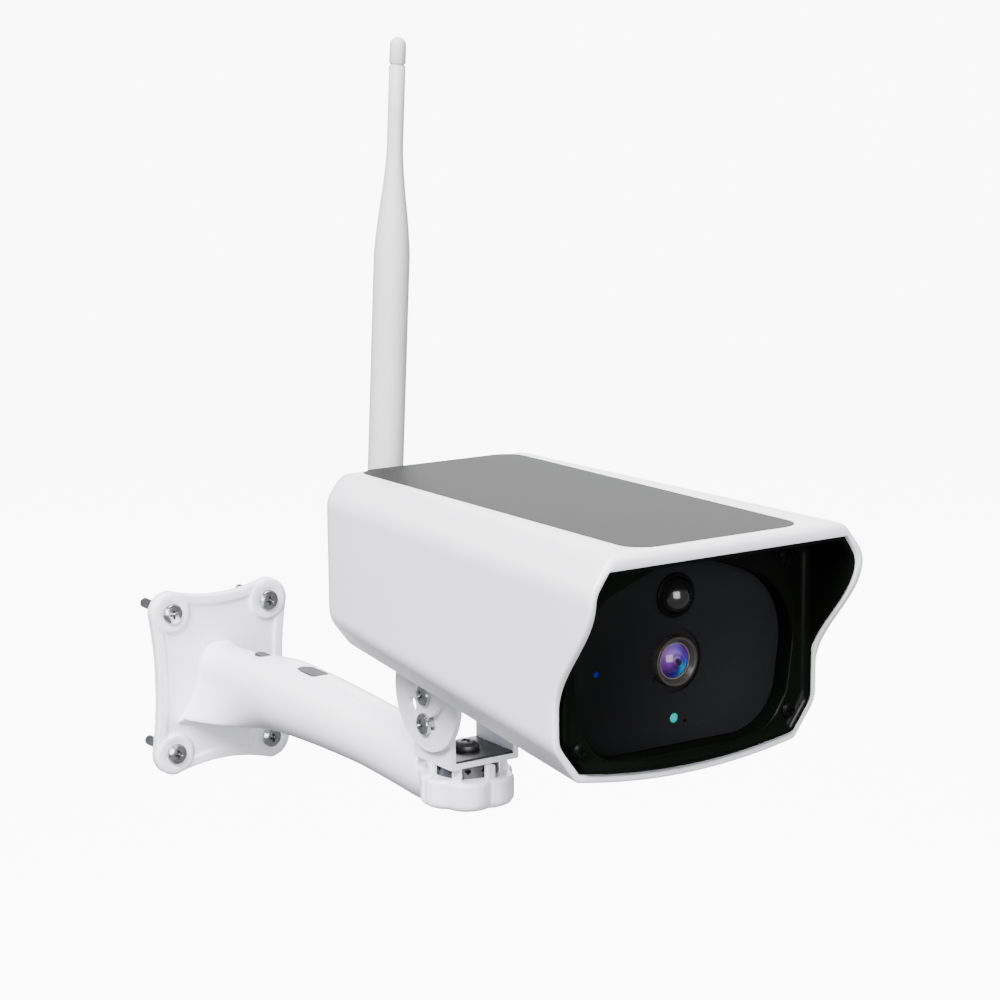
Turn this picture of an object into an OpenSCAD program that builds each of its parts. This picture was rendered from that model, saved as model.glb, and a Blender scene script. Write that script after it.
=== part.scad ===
// Solar-powered security camera on a wall arm with a pan and tilt head.
// Frame: X to the right, Y into the wall, Z up. The origin is the middle of the wall
// plate's back face, on the wall. The camera looks along -Y.

/* [Wall plate] */
// Spacing of the wall holes across
hole_dx = 42; // [36:1:52]
// Spacing of the wall holes up and down
hole_dz = 56; // [48:1:68]
// Plate material outside each hole's centre
plate_margin = 9; // [8:0.5:12]
// Thickness of the wall plate
plate_t = 4; // [3.5:0.5:7]
// Wall screw shank diameter
wall_screw_d = 4; // [3:0.5:5]
// Length of the wall screw shanks behind the plate
wall_screw_l = 20; // [12:1:40]

/* [Arm] */
// Distance from the wall to the pan axis
arm_reach = 180.5; // [150:0.5:220]
// Outside radius of the arm tube near the wall
arm_r_wall = 14; // [12:0.5:16]
// Outside radius of the arm tube at the cup
arm_r_end = 12; // [10:0.5:13]
// Rise of the arm's arch above its ends
arm_rise = 4.5; // [0:0.5:20]
// Wall thickness of the hollow arm
arm_wall = 3; // [2:0.5:4]
// Outside diameter of the fluted cup at the arm's end
cup_d = 34; // [32:0.5:40]
// Height of the fluted cup
cup_h = 10.5; // [9:0.5:16]
// Height of the crown's teeth above the cup
crown_h = 4.5; // [3:0.5:8]

/* [Pan and tilt head] */
// Width of the yoke across its two ears
yoke_w = 27; // [25:0.1:33]
// Depth of the yoke along the camera
yoke_d = 23; // [20:0.5:25]
// Thickness of the yoke's sheet
yoke_t = 2; // [1.5:0.25:2.5]
// Height of the tilt pivot above the yoke's underside
pivot_up = 24; // [23:0.5:32]
// Radius of the round ears that carry the camera
ear_r = 19.3; // [18:0.1:20]
// Thickness of the ears that carry the camera
ear_t = 2; // [1.5:0.25:3]
// Distance from the tilt pivot to the locking screws
lock_r = 10; // [9:0.25:12]
// Shank diameter of the pivot and locking screws
pivot_d = 4; // [3:0.5:5]

/* [Housing] */
// Length of the housing from its top front edge to its rear face
body_l = 165; // [150:1:200]
// Distance from the top front edge back to the pan axis
body_over = 141.5; // [125:0.5:142]
// Width across the shoulders at the front
front_w = 100; // [90:1:120]
// Height at the front, down to the middle of the belly
front_h = 76; // [70:1:90]
// Width across the shoulders at the rear
rear_w = 84; // [80:1:100]
// Height at the rear
rear_h = 60; // [58:1:74]
// Depth of the chamfer between the top and each side
shoulder = 10; // [6:0.5:14]
// How far the mouth steps back below the hood
hood_d = 19.5; // [12:0.5:22]
// Wall thickness of the housing
shell_t = 2.2; // [1.6:0.1:3]
// Radius of the rounded rear edges
rear_r = 9; // [6:0.5:10]
// Height from the tilt pivot up to the pad under the housing
pad_up = 10.5; // [10:0.5:13]

/* [Solar panel] */
// Width of the solar panel
solar_w = 62; // [50:1:66]
// Length of the solar panel
solar_l = 154; // [120:1:156]
// Corner radius of the solar panel
solar_r = 8; // [4:0.5:10]
// Depth of the panel's recess in the housing
solar_deep = 2.6; // [2.2:0.1:3.5]

/* [Front] */
// Depth of the black bezel's face behind the top front edge
bezel_y = 21; // [20:0.5:24]
// Depth of the dished front plate behind the top front edge
plate_y = 27; // [25:0.5:30]
// Outside diameter of the lens barrel
lens_d = 15; // [13:0.5:18]
// Drop of the lens axis below the top face
lens_drop = 41.2; // [38:0.1:45]
// Outside diameter of the motion sensor's collar
pir_d = 13.6; // [12:0.2:15]
// Drop of the motion sensor below the top face
pir_drop = 21.2; // [19:0.1:24]
// Drop of the status lamp below the top face
status_drop = 58.8; // [54:0.1:60]

/* [Battery] */
// Number of cells side by side
cell_n = 3; // [2:1:3]
// Diameter of one cell
cell_d = 18.4; // [14:0.1:18.6]
// Length of one cell
cell_l = 65; // [50:0.5:70]

/* [Antenna] */
// Distance from the housing's rear face to the antenna's fold pin
fold_back = 27.5; // [27:0.5:34]
// Drop of the antenna socket below the top face
jack_drop = 24; // [22:0.5:28]
// Length of the antenna from its fold pin to its tip
whip_l = 164; // [100:1:220]
// Diameter of the thick lower part of the antenna
whip_d = 12.4; // [10:0.2:13]
// Diameter of the thin upper part of the antenna
whip_tip_d = 5.6; // [4:0.2:8]
// Sideways lean of the antenna
whip_lean = 3; // [0:0.5:10]

/* [Hidden] */
$fn = 48;
facet = 32;      // facets of round shapes inside a hull
fit = 0.05;      // radial running clearance of a pin in its hole
gap = 0.3;       // clearance between pieces that move past each other
seat = 0.15;     // clearance around a piece that drops into a seat
screw_head_h = 2.2;

// wall plate and arm
plate_hw = hole_dx / 2 + plate_margin;
plate_hh = hole_dz / 2 + plate_margin;
wall_head_d = 2 * wall_screw_d;
cup_top = cup_h / 2;
cup_bottom = -cup_h / 2;
crown_r = cup_d / 2 - 3.1;
crown_t = 2.4;
detent_r = crown_r - crown_t - 0.5;
crown_n = 7;
crown_phase = -85;
flute_n = 6;
crown_top = cup_top + crown_h;
foot_len = 62;
arm_screw_x = 6;
arm_screw_z = -7;
port_big = [-76.5, 9];
port_small = [-38.5, 5];

// pan and tilt head
yoke_lift = 0.1;
yoke_z = crown_top + yoke_lift;
pivot_z = yoke_z + pivot_up;
yoke_sweep = norm([yoke_w / 2, yoke_d / 2]);
floor_t = 0.8;
floor_top = yoke_z + yoke_t + floor_t;
pan_d = 5;
pan_head_d = 9;
ear_in = yoke_w / 2 + gap;
ear_out = ear_in + ear_t;
foot_t = 2;
foot_top = pivot_z + pad_up;
foot_d = 29;
yoke_top_r = pad_up - foot_t - 0.6;
slot_w = pivot_d + 0.5;
slot_half = 60;

// housing, in its own frame: Y back from the top front edge, Z down from the top face
head_y = -arm_reach - body_over;
pad_proud = 1.5;
pad_z = -front_h * (1 - (1 - rear_h / front_h) * body_over / body_l) - pad_proud;
head_z = foot_top - pad_z;
top_floor = solar_deep + 1.6;
hood_z1 = -12;
hood_z2 = -48;
hood_n = 8;
solar_y = 5;
rear_t = 3;
cover_w = 54;
cover_h = 34;
cover_z = -jack_drop - 5;
cover_lip = 4;
cover_r = 4;
rear_in = body_l - rear_t;
jack_d = 6.4;
port_z = cover_z - 8.6;
port_w = 42;
port_h = 11;
usb_x = 0;
card_x = 13;
button_x = -14;
button_d = 6;
flap_t = 1.8;
flap_pin_d = 1.4;
flap_w = port_w + 3;
flap_y = body_l + gap;
flap_pin_y = flap_y + flap_t / 2 + 0.4;
flap_pin_z = port_z - port_h / 2 - 1.6;
flap_top_z = port_z + port_h / 2 + 1;
flap_barrel_r = 1.3;

// front pieces
bezel_t = 1.2;
bezel_in = 1.2;
face_t = 2;
screw_low = [0.89 * front_w / 2 - 5.7, -(front_h - 15)];
screw_high = [front_w / 2 - 13, -12.5];
dish_half = front_w / 2 - 10;
dish_top = -9;
dish_low = -(front_h - 9);
front_plate_t = 2.4;
plate_back = plate_y + front_plate_t;
lamp_d = 3;
link_x = -28.5;
link_z = -lens_drop;
mic_x = 4;
mic_z = -status_drop - 1.5;
barrel_proud = 1.6;
barrel_back = plate_back + 8;
sensor_y = barrel_back + 4;

// battery and boards
cell_gap = 0.4;
cell_pitch = cell_d + cell_gap;
tray_t = 1.4;
tray_half = cell_n * cell_pitch / 2 + tray_t;
cell_z = -47;
tray_bottom = cell_z - cell_d / 2 - tray_t;
tray_top = cell_z + 4;
tray_l = cell_l + 2 * tray_t + 2;
board_z = -34;
board_t = 1.6;
board_y = rear_in - 100;
tray_y = board_y + 4;
board_w = 66;

// antenna, in the housing's frame
fold_y = body_l + fold_back;
jack_z = -jack_drop;
nut_t = 2.4;
ferrule_y = body_l + 4.2;
swivel_y = fold_y - 15;
tongue_w = 4.6;
tongue_r = 5.6;
fork_in = tongue_w / 2 + 0.2;
fold_pin_d = 2.4;
thick_l = 0.565 * whip_l;
thin_l = 0.754 * whip_l;
groove_l = whip_l - 9.5;

// ---- shared shapes ----

// cylinder along +Y, +X
module rod_y(d, l) { rotate([-90, 0, 0]) cylinder(d = d, h = l); }
module rod_x(d, l) { rotate([0, 90, 0]) cylinder(d = d, h = l); }

// the two sides of the part, x and -x
module both_sides() {
    children();
    mirror([1, 0, 0]) children();
}

// pan head screw along +Y: its head's underside at y = 0, its head towards -Y
module screw(shank_d, shank_l, head_d, head_h = screw_head_h) {
    difference() {
        union() {
            translate([0, -head_h * 0.45, 0]) rod_y(head_d, head_h * 0.45);
            translate([0, -head_h, 0]) rotate([-90, 0, 0])
                cylinder(d1 = head_d * 0.72, d2 = head_d, h = head_h * 0.55);
            rod_y(shank_d, shank_l);
        }
        for (a = [0, 90]) rotate([0, a, 0])
            translate([-head_d * 0.28, -head_h - 1, -head_d * 0.06])
                cube([head_d * 0.56, 1 + head_h * 0.55, head_d * 0.12]);
    }
}

// rectangle with round corners
module round_rect(w, h, r) {
    translate([-w / 2 + r, -h / 2]) square([w - 2 * r, h]);
    translate([-w / 2, -h / 2 + r]) square([w, h - 2 * r]);
    for (x = [-1, 1], y = [-1, 1]) translate([x * (w / 2 - r), y * (h / 2 - r)]) circle(r);
}

// flat shape drawn in X and Z, with its thickness along +Y from y
module slab_y(y, t) { translate([0, y + t, 0]) rotate([90, 0, 0]) linear_extrude(t) children(); }

// flat shape drawn in Y and Z, with its thickness along +X from x
module slab_x(x, t) { translate([x, 0, 0]) rotate([90, 0, 90]) linear_extrude(t) children(); }

// moves from the housing's own frame to the wall's frame
module in_head() { translate([0, head_y, head_z]) children(); }

// ---- wall plate and its screws ----

module at_wall_holes() {
    for (x = [-1, 1], z = [-1, 1]) translate([x * hole_dx / 2, 0, z * hole_dz / 2]) children();
}

// outline with round corner lobes and sides that curve inwards
module plate_outline() {
    lobe = plate_margin;
    sag_x = 2.4;
    sag_z = 3.4;
    bow_x = (pow(hole_dz / 2 - 2, 2) + sag_x * sag_x) / (2 * sag_x);
    bow_z = (pow(hole_dx / 2 - 2, 2) + sag_z * sag_z) / (2 * sag_z);
    difference() {
        round_rect(2 * plate_hw, 2 * plate_hh, lobe);
        for (s = [-1, 1]) {
            translate([s * (plate_hw - sag_x + bow_x), 0]) circle(bow_x, $fn = 96);
            translate([0, s * (plate_hh - sag_z + bow_z)]) circle(bow_z, $fn = 96);
        }
    }
}

module wall_plate() {
    color("white") difference() {
        union() {
            slab_y(-plate_t, plate_t) plate_outline();
            at_wall_holes() translate([0, -plate_t - 0.8, 0]) rod_y(wall_head_d + 5, 1);
        }
        at_wall_holes() translate([0, -plate_t - 2, 0]) rod_y(wall_screw_d + 2 * fit, plate_t + 3);
        at_wall_holes() translate([0, -plate_t - 2, 0]) rod_y(wall_head_d + 2, 2);
        for (x = [-1, 1]) translate([x * arm_screw_x, 0, arm_screw_z]) {
            translate([0, -plate_t - 1, 0]) rod_y(4.2, plate_t + 2);
            translate([0, -2.6, 0]) rod_y(8, 3);
        }
    }
}

// the shank is thinner inside the plate than the thread behind it
module wall_screws() {
    color("silver") at_wall_holes() {
        translate([0, -plate_t, 0]) screw(wall_screw_d - 0.5, plate_t + 1, wall_head_d, 2.4);
        rod_y(wall_screw_d, wall_screw_l);
    }
}

// ---- arm ----

// height of the arm's middle line at a distance from the wall
function arm_mid(s) = arm_rise * pow(sin(180 * min(1, s / (arm_reach - 8))), 0.8);

// radius of the tube at a distance from the wall
function arm_rad(s) = arm_r_wall + (arm_r_end - arm_r_wall) * min(1, max(0, (s - 60) / 60));

// how much of the bell-shaped foot is left at a distance from the wall, from 1 to 0
function foot_share(s) = let (u = min(1, s / foot_len)) 1 - u * u * (3 - 2 * u);

// half width of the bell-shaped foot at a height from -1, the bottom, to 1, the top
function bell_half(v) = v > 0.3 ? 9.5 * sqrt(max(0, 1 - pow((v - 0.3) / 0.7, 2)))
    : 9.5 + 10 * pow((0.3 - v) / 1.3, 1.8);

// one ring of the arm; inset moves it inwards
arm_ring_n = 28;
function arm_point(s, a, inset) = let (
        k = foot_share(s),
        r = arm_rad(s) - inset,
        v = sin(a),
        bell = [sign(cos(a)) * min(abs(bell_half(v * 0.98)), abs(cos(a)) * 60) * (1 - inset / 11),
            v * (14 - inset)],
        tube = [r * cos(a), r * sin(a)],
        p = k * bell + (1 - k) * tube)
    [p[0], -s, arm_mid(s) * (1 - k) - 1 * k + p[1]];

// closed tube through the rings at the given distances from the wall
module arm_loft(stations, inset) {
    n = arm_ring_n;
    m = len(stations);
    rings = [for (s = stations, i = [0 : n - 1]) arm_point(s, 360 * i / n, inset)];
    middles = [for (s = [stations[0], stations[m - 1]]) [0, -s, arm_point(s, 0, inset)[2]]];
    low = [for (j = [0 : m - 2], i = [0 : n - 1]) let (i2 = (i + 1) % n)
        [j * n + i, (j + 1) * n + i2, j * n + i2]];
    high = [for (j = [0 : m - 2], i = [0 : n - 1]) let (i2 = (i + 1) % n)
        [j * n + i, (j + 1) * n + i, (j + 1) * n + i2]];
    near = [for (i = [0 : n - 1]) [n * m, i, (i + 1) % n]];
    far = [for (i = [0 : n - 1]) [n * m + 1, (m - 1) * n + (i + 1) % n, (m - 1) * n + i]];
    polyhedron(concat(rings, middles), concat(low, high, near, far), convexity = 6);
}

// slot with round ends for a blanking plug, through the top of the arm
module port_slot(place, w, grow, depth) {
    l = place[1];
    translate([0, place[0], arm_mid(-place[0])]) linear_extrude(depth) {
        square([w + 2 * grow, l], center = true);
        for (s = [-1, 1]) translate([0, s * l / 2]) circle(d = w + 2 * grow);
    }
}

module arm() {
    step = (arm_reach - 10 - plate_t) / 12;
    outer = [for (i = [0 : 12]) plate_t + i * step];
    inner = [for (i = [0 : 10]) plate_t - 1 + i * (arm_reach - 30 - plate_t) / 10];
    color("white") difference() {
        union() {
            difference() {
                arm_loft(outer, 0);
                arm_loft(inner, arm_wall);
                translate([0, -arm_reach, cup_top - 0.5]) cylinder(r = yoke_sweep + gap, h = 30);
            }
            for (x = [-1, 1]) translate([x * arm_screw_x, -plate_t - 14, arm_screw_z]) rod_y(7.5, 14);
            translate([0, -arm_reach, cup_bottom]) fluted_cup();
            translate([0, -arm_reach, cup_top]) crown();
        }
        for (x = [-1, 1]) translate([x * arm_screw_x, -plate_t - 12, arm_screw_z]) rod_y(3.2, 13);
        port_slot(port_big, 6.5, seat, 30);
        port_slot(port_small, 4, seat, 30);
        translate([0, -arm_reach, cup_bottom - 1]) cylinder(d = pan_d + 2 * fit, h = cup_h + crown_h + 2);
        translate([0, -arm_reach, cup_bottom - 1]) cylinder(d = 13, h = 5.5);
        translate([0, -arm_reach, cup_top - 2]) cylinder(r = detent_r + seat, h = crown_h + 3);
    }
}

// cup with a scalloped side
module fluted_cup() {
    lobe_r = 8.6;
    linear_extrude(cup_h) for (i = [0 : flute_n - 1]) rotate(i * 360 / flute_n)
        translate([cup_d / 2 - lobe_r, 0]) circle(lobe_r);
}

// ring of teeth that the yoke stands on
module crown() {
    tooth = 14;
    for (i = [0 : crown_n - 1]) rotate(crown_phase + i * 360 / crown_n - tooth / 2)
        rotate_extrude(angle = tooth) translate([crown_r - crown_t, -0.5]) square([crown_t, crown_h + 0.5]);
}

module arm_screws() {
    color("dimgray") for (x = [-1, 1]) translate([x * arm_screw_x, -2.6, arm_screw_z])
        mirror([0, 1, 0]) screw(3.2, plate_t - 2.6 + 10, 7);
}

module arm_port_plugs() {
    color("dimgray") {
        translate([0, 0, 5]) port_slot(port_big, 6.5, 0, arm_r_wall - 6);
        translate([0, 0, 5]) port_slot(port_small, 4, 0, arm_r_wall - 6.2);
    }
}

// notched steel ring inside the crown
module detent_ring() {
    color("dimgray") translate([0, -arm_reach, cup_top - 2]) difference() {
        cylinder(r = detent_r, h = crown_h + 1.6);
        translate([0, 0, -1]) cylinder(d = pan_d + 1, h = crown_h + 4);
        for (i = [0 : 11]) rotate(i * 30) translate([detent_r, 0, crown_h])
            rotate([45, 0, 0]) cube([8, 1.6, 1.6], center = true);
    }
}

// ---- pan yoke ----

module at_pan() { translate([0, -arm_reach, 0]) children(); }

// one ear of the yoke, drawn in Y and Z about the pivot
module yoke_ear_outline() {
    low = -pivot_up;
    polygon([[-yoke_d / 2, low], [yoke_d / 2, low], [yoke_d / 2, low + 11],
        [yoke_top_r * 0.95, 2.5], [-yoke_top_r * 0.95, 2.5], [-yoke_d / 2, low + 11]]);
    circle(yoke_top_r);
}

module pan_yoke() {
    color("white") at_pan() difference() {
        union() {
            translate([-yoke_w / 2, -yoke_d / 2, yoke_z]) cube([yoke_w, yoke_d, yoke_t]);
            both_sides() translate([0, 0, pivot_z]) slab_x(yoke_w / 2 - yoke_t, yoke_t)
                yoke_ear_outline();
        }
        translate([0, 0, crown_top - 1]) cylinder(d = pan_d + 2 * fit, h = yoke_t + 2);
        for (z = [pivot_z, pivot_z - lock_r]) translate([-yoke_w, 0, z])
            rod_x(pivot_d, 2 * yoke_w);
    }
}

module yoke_floor_plate() {
    w = yoke_w - 2 * yoke_t - 0.4;
    color("dimgray") at_pan() translate([0, 0, yoke_z + yoke_t]) difference() {
        translate([-w / 2, -yoke_d / 2, 0]) cube([w, yoke_d, floor_t]);
        translate([0, 0, -1]) cylinder(d = pan_d + 2 * fit, h = 3);
    }
}

module pan_screw() {
    color("gray") at_pan() translate([0, 0, floor_top]) rotate([-90, 0, 0])
        screw(pan_d, floor_top - cup_bottom - 0.3, pan_head_d, 3);
}

module pan_nut() {
    z = cup_bottom + 0.6;
    color("gray") at_pan() difference() {
        union() {
            translate([0, 0, z]) cylinder(d = 9, h = 2.9, $fn = 6);
            translate([0, 0, z + 2.9]) cylinder(d = 11.4, h = 0.7);
        }
        translate([0, 0, z - 1]) cylinder(d = pan_d, h = 6);
    }
}

// screws that face outwards on both sides of the head
module side_screws(z) {
    reach = ear_out + gap;
    color("silver") at_pan() both_sides() translate([reach, 0, z]) rotate([0, 0, 90])
        screw(pivot_d, reach - yoke_w / 2 + yoke_t + 4, 7.4);
}

module pivot_screws() { side_screws(pivot_z); }
module lock_screws() { side_screws(pivot_z - lock_r); }

module ear_nuts() {
    color("gray") at_pan() both_sides() for (z = [pivot_z, pivot_z - lock_r])
        translate([yoke_w / 2 - yoke_t - 2.6, 0, z]) difference() {
            rotate([30, 0, 0]) rod_x(7.6, 2.6, $fn = 6);
            translate([-1, 0, 0]) rod_x(pivot_d, 5);
        }
}

// ---- bracket under the housing ----

// curved slot about the tilt pivot, drawn in Y and Z
module arc_slot() {
    far = 3 * lock_r;
    difference() {
        intersection() {
            circle(lock_r + slot_w / 2);
            polygon([for (a = [undef, -slot_half, 0, slot_half]) a == undef ? [0, 0]
                : far * [sin(a), -cos(a)]]);
        }
        circle(lock_r - slot_w / 2);
    }
    for (a = [-slot_half, slot_half]) translate(lock_r * [sin(a), -cos(a)]) circle(d = slot_w + 0.3);
}

module tilt_bracket() {
    color("white") at_pan() difference() {
        union() {
            translate([-ear_out, -foot_d / 2, foot_top - foot_t]) cube([2 * ear_out, foot_d, foot_t]);
            both_sides() translate([0, 0, pivot_z]) slab_x(ear_in, ear_t) {
                intersection() {
                    circle(ear_r, $fn = 96);
                    translate([-ear_r - 1, -ear_r - 1]) square([2 * ear_r + 2, ear_r + 1 + pad_up]);
                }
            }
        }
        translate([-2 * ear_out, 0, pivot_z]) rod_x(pivot_d + 2 * fit, 4 * ear_out);
        both_sides() translate([0, 0, pivot_z]) slab_x(ear_in - 1, ear_t + 2) arc_slot();
        at_foot_screws() translate([0, 0, foot_top - foot_t - 1]) cylinder(d = 3.2, h = foot_t + 2);
    }
}

module at_foot_screws() {
    for (x = [-1, 1], y = [-1, 1]) translate([x * 7.5, y * 9.5, 0]) children();
}

module bracket_screws() {
    color("silver") at_pan() at_foot_screws() translate([0, 0, foot_top - foot_t])
        rotate([90, 0, 0]) screw(3, foot_t + 5, 5.6, 1.6);
}

// ---- housing ----

// how much of the front's width and height is left at a distance from the front
function wide(y) = 1 - (1 - rear_w / front_w) * y / body_l;
function tall(y) = 1 - (1 - rear_h / front_h) * y / body_l;

// cross-section of the housing in X and Z at a distance from the front
function section(y) = let (
        w = wide(y) * front_w / 2,
        h = tall(y) * front_h,
        belly = 4 / 76 * h,
        low = h - belly,
        foot = 0.83 * w,
        half = [[0.86 * w, 0], [w, -shoulder * tall(y)], [w, -0.84 * low], [foot, -low]],
        curve = [for (i = [1 : 5]) [foot * (1 - i / 3), -low - belly * (1 - pow(1 - i / 3, 2))]])
    concat(half, curve, [for (i = [3 : -1 : 0]) [-half[i][0], half[i][1]]]);

// slice of the housing's outline at y, moved inwards by inset
module slice(y, inset) {
    translate([0, y, 0]) rotate([90, 0, 0]) linear_extrude(0.01) offset(delta = -inset)
        polygon(section(y));
}

// solid with the housing's outer form, moved inwards by inset
module housing_form(inset, y0, y1, r) {
    hull() {
        slice(y0 + 0.01, inset);
        for (a = [0 : 22.5 : 90]) slice(y1 - r + r * sin(a), inset + r * (1 - cos(a)));
    }
}

// side view of what is cut away in front of the mouth, moved back by dy
module mouth_cut(dy) {
    curve = [for (i = [0 : hood_n]) let (u = i / hood_n)
        [dy + hood_d * (1 - u * u * (3 - 2 * u)), hood_z2 + (hood_z1 - hood_z2) * u]];
    slab_x(-front_w, 2 * front_w)
        polygon(concat([[dy - 20, hood_z1], [dy - 20, -front_h - 20], [dy + hood_d, -front_h - 20]],
            curve));
    translate([-front_w, dy - 20, hood_z1 - 1]) cube([2 * front_w, 20, 40]);
}

module at_bezel_screws() {
    for (x = [-1, 1], p = [screw_low, screw_high]) translate([x * p[0], 0, p[1]]) children();
}

module at_rear_screws() {
    for (x = [-1, 1], z = [-1, 1])
        translate([x * (cover_w / 2 - 3), 0, cover_z + z * (cover_h / 2 - 3)]) children();
}

module solar_outline(grow) {
    round_rect(solar_w + 2 * grow, solar_l + 2 * grow, solar_r + grow);
}

module at_solar(z) { translate([0, solar_y + solar_l / 2, z]) children(); }

// bosses that the bezel's screws hold in, each joined to the nearest wall
module bezel_bosses() {
    y = bezel_y + face_t + 0.8;
    at_bezel_screws() translate([0, y, 0]) rod_y(6.6, 10);
    both_sides() {
        translate([screw_high[0] - 1.2, y, screw_high[1]]) cube([2.4, 10, 12]);
        translate([screw_low[0], y, screw_low[1] - 1.2]) cube([12, 10, 2.4]);
    }
}

module housing() {
    pad_y = body_over - foot_d / 2;
    color("whitesmoke") in_head() difference() {
        union() {
            difference() {
                housing_form(0, 0, body_l, rear_r);
                intersection() {
                    housing_form(shell_t, -1, rear_in, rear_r - rear_t);
                    translate([-front_w, -2, -top_floor - 200]) cube([2 * front_w, body_l, 200]);
                }
            }
            intersection() {
                housing_form(0.5, 0, body_l, rear_r);
                union() {
                    difference() {
                        bezel_bosses();
                        slab_y(0, plate_back + 0.5) dish_outline(bezel_t + 0.3);
                    }
                    both_sides() translate([16, tray_y + 10, tray_bottom - 30])
                        cube([2.4, tray_l - 20, 30]);
                    for (x = [-1, 1], y = [0, 1]) translate([x * 26, board_y + 8 + y * 72, board_z + board_t])
                        cylinder(d = 6, h = 60);
                }
            }
            translate([-ear_out - 1, pad_y, pad_z]) cube([2 * ear_out + 2, foot_d, shell_t + 3]);
            intersection() {
                housing_form(1, 0, body_l, rear_r);
                translate([0, rear_in - 3, cover_z]) difference() {
                    translate([-cover_w / 2 - 2, 0, -cover_h / 2 - 2]) cube([cover_w + 4, 4, cover_h + 4]);
                    translate([-cover_w / 2 + cover_lip, -1, -cover_h / 2 + cover_lip])
                        cube([cover_w - 2 * cover_lip, 6, cover_h - 2 * cover_lip]);
                }
            }
        }
        mouth_cut(0);
        at_solar(-solar_deep) linear_extrude(10) solar_outline(seat);
        at_bezel_screws() translate([0, bezel_y + face_t - 2, 0]) rod_y(2.2, 11);
        translate([0, body_over, 0]) at_foot_screws() translate([0, 0, pad_z - 1]) cylinder(d = 3, h = 7);
        slab_y(body_l - rear_t, 5) translate([0, cover_z])
            round_rect(cover_w + 2 * seat, cover_h + 2 * seat, cover_r);
        slab_y(body_l - 8, 12) translate([0, cover_z])
            round_rect(cover_w - 2 * cover_lip, cover_h - 2 * cover_lip, 2);
        at_rear_screws() translate([0, rear_in - 4, 0]) rod_y(2, 6);
    }
}

// ---- solar panel ----

module solar_gasket() {
    color("black") in_head() at_solar(-solar_deep) linear_extrude(0.4) difference() {
        solar_outline(0);
        solar_outline(-4);
    }
}

module solar_board() {
    color("darkgreen") in_head() at_solar(-solar_deep + 0.4) linear_extrude(0.9) solar_outline(0);
}

module solar_cells() {
    rows = 6;
    cols = 2;
    w = (solar_w - 5) / cols;
    l = (solar_l - 6) / rows;
    color([0.08, 0.09, 0.13]) in_head() at_solar(-solar_deep + 1.3)
        for (i = [0 : cols - 1], j = [0 : rows - 1])
            translate([(i - (cols - 1) / 2) * w, (j - (rows - 1) / 2) * l, 0.1])
                cube([w - 0.8, l - 0.8, 0.2], center = true);
}

module solar_glass() {
    color([0.16, 0.16, 0.16]) in_head() at_solar(-solar_deep + 1.5)
        linear_extrude(solar_deep - 1.5) solar_outline(0);
}

// ---- front ----

// outline of the dished plate in X and Z, grown by g
module dish_outline(g) {
    top_r = 28;
    mid_r = 24;
    low_r = 17;
    hull() {
        translate([0, dish_top - top_r]) circle(top_r + g, $fn = 2 * facet);
        for (x = [-1, 1]) {
            translate([x * (dish_half - mid_r), dish_top - 29.5]) circle(mid_r + g, $fn = 2 * facet);
            translate([x * (dish_half - low_r - 1.5), dish_low + low_r]) circle(low_r + g, $fn = 2 * facet);
        }
    }
}

module front_bezel() {
    lining = shell_t + seat;
    color([0.03, 0.03, 0.03]) in_head() difference() {
        intersection() {
            union() {
                difference() {
                    housing_form(lining, 0, bezel_y + face_t, 0.01);
                    translate([0, -0.1, 0]) housing_form(lining + bezel_in, 0, bezel_y + 0.1, 0.01);
                }
                slab_y(bezel_y, face_t) intersection() {
                    offset(delta = -lining) polygon(section(bezel_y + face_t));
                    translate([-front_w / 2, -front_h]) square([front_w, front_h - top_floor - seat]);
                }
                slab_y(bezel_y + face_t, plate_y + front_plate_t - bezel_y - face_t)
                    dish_outline(bezel_t);
            }
            translate([-front_w, -1, -front_h - 10])
                cube([2 * front_w, body_l, front_h + 10 - top_floor - seat]);
        }
        mouth_cut(1.2);
        slab_y(0, body_l) dish_outline(seat);
        at_bezel_screws() translate([0, bezel_y - 1, 0]) rod_y(3, face_t + 2);
    }
}

module front_gasket() {
    grow = shell_t + seat;
    color("dimgray") in_head() slab_y(bezel_y + face_t, 0.8) difference() {
        intersection() {
            offset(delta = -grow) polygon(section(bezel_y + 4));
            translate([-front_w / 2, -front_h]) square([front_w, front_h - top_floor - seat]);
        }
        offset(delta = -grow - 2.5) polygon(section(bezel_y + 4));
        dish_outline(bezel_t + 0.2);
        for (x = [-1, 1], p = [screw_low, screw_high]) translate([x * p[0], p[1]]) circle(d = 7);
    }
}

module bezel_screws() {
    color([0.06, 0.06, 0.06]) in_head() at_bezel_screws() translate([0, bezel_y, 0])
        screw(2.2, face_t + 7, 5, 1.3);
}

module front_plate() {
    color([0.12, 0.12, 0.13]) in_head() difference() {
        slab_y(plate_y, front_plate_t) dish_outline(0);
        translate([0, plate_y - 1, -pir_drop]) rod_y(pir_d - 1.2 + 2 * seat, front_plate_t + 2);
        translate([0, plate_y - 1, -lens_drop]) rod_y(lens_d + 2 * seat, front_plate_t + 2);
        translate([0, plate_y - 1, -lens_drop]) rod_y(lens_d + 4.6, 1.8);
        translate([0, plate_y - 1, -status_drop]) rod_y(lamp_d + 2 * fit, front_plate_t + 2);
        translate([link_x, plate_y - 1, link_z]) rod_y(lamp_d - 1 + 2 * fit, front_plate_t + 2);
        translate([mic_x, plate_y - 1, mic_z]) rod_y(1.2, front_plate_t + 2);
    }
}

module at_lens() { in_head() translate([0, 0, -lens_drop]) children(); }

lens_front = plate_y - barrel_proud;
ring_y = lens_front + 1.4;
glass_y = ring_y + 0.8;
glass_d = lens_d - 3.6;

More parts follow.
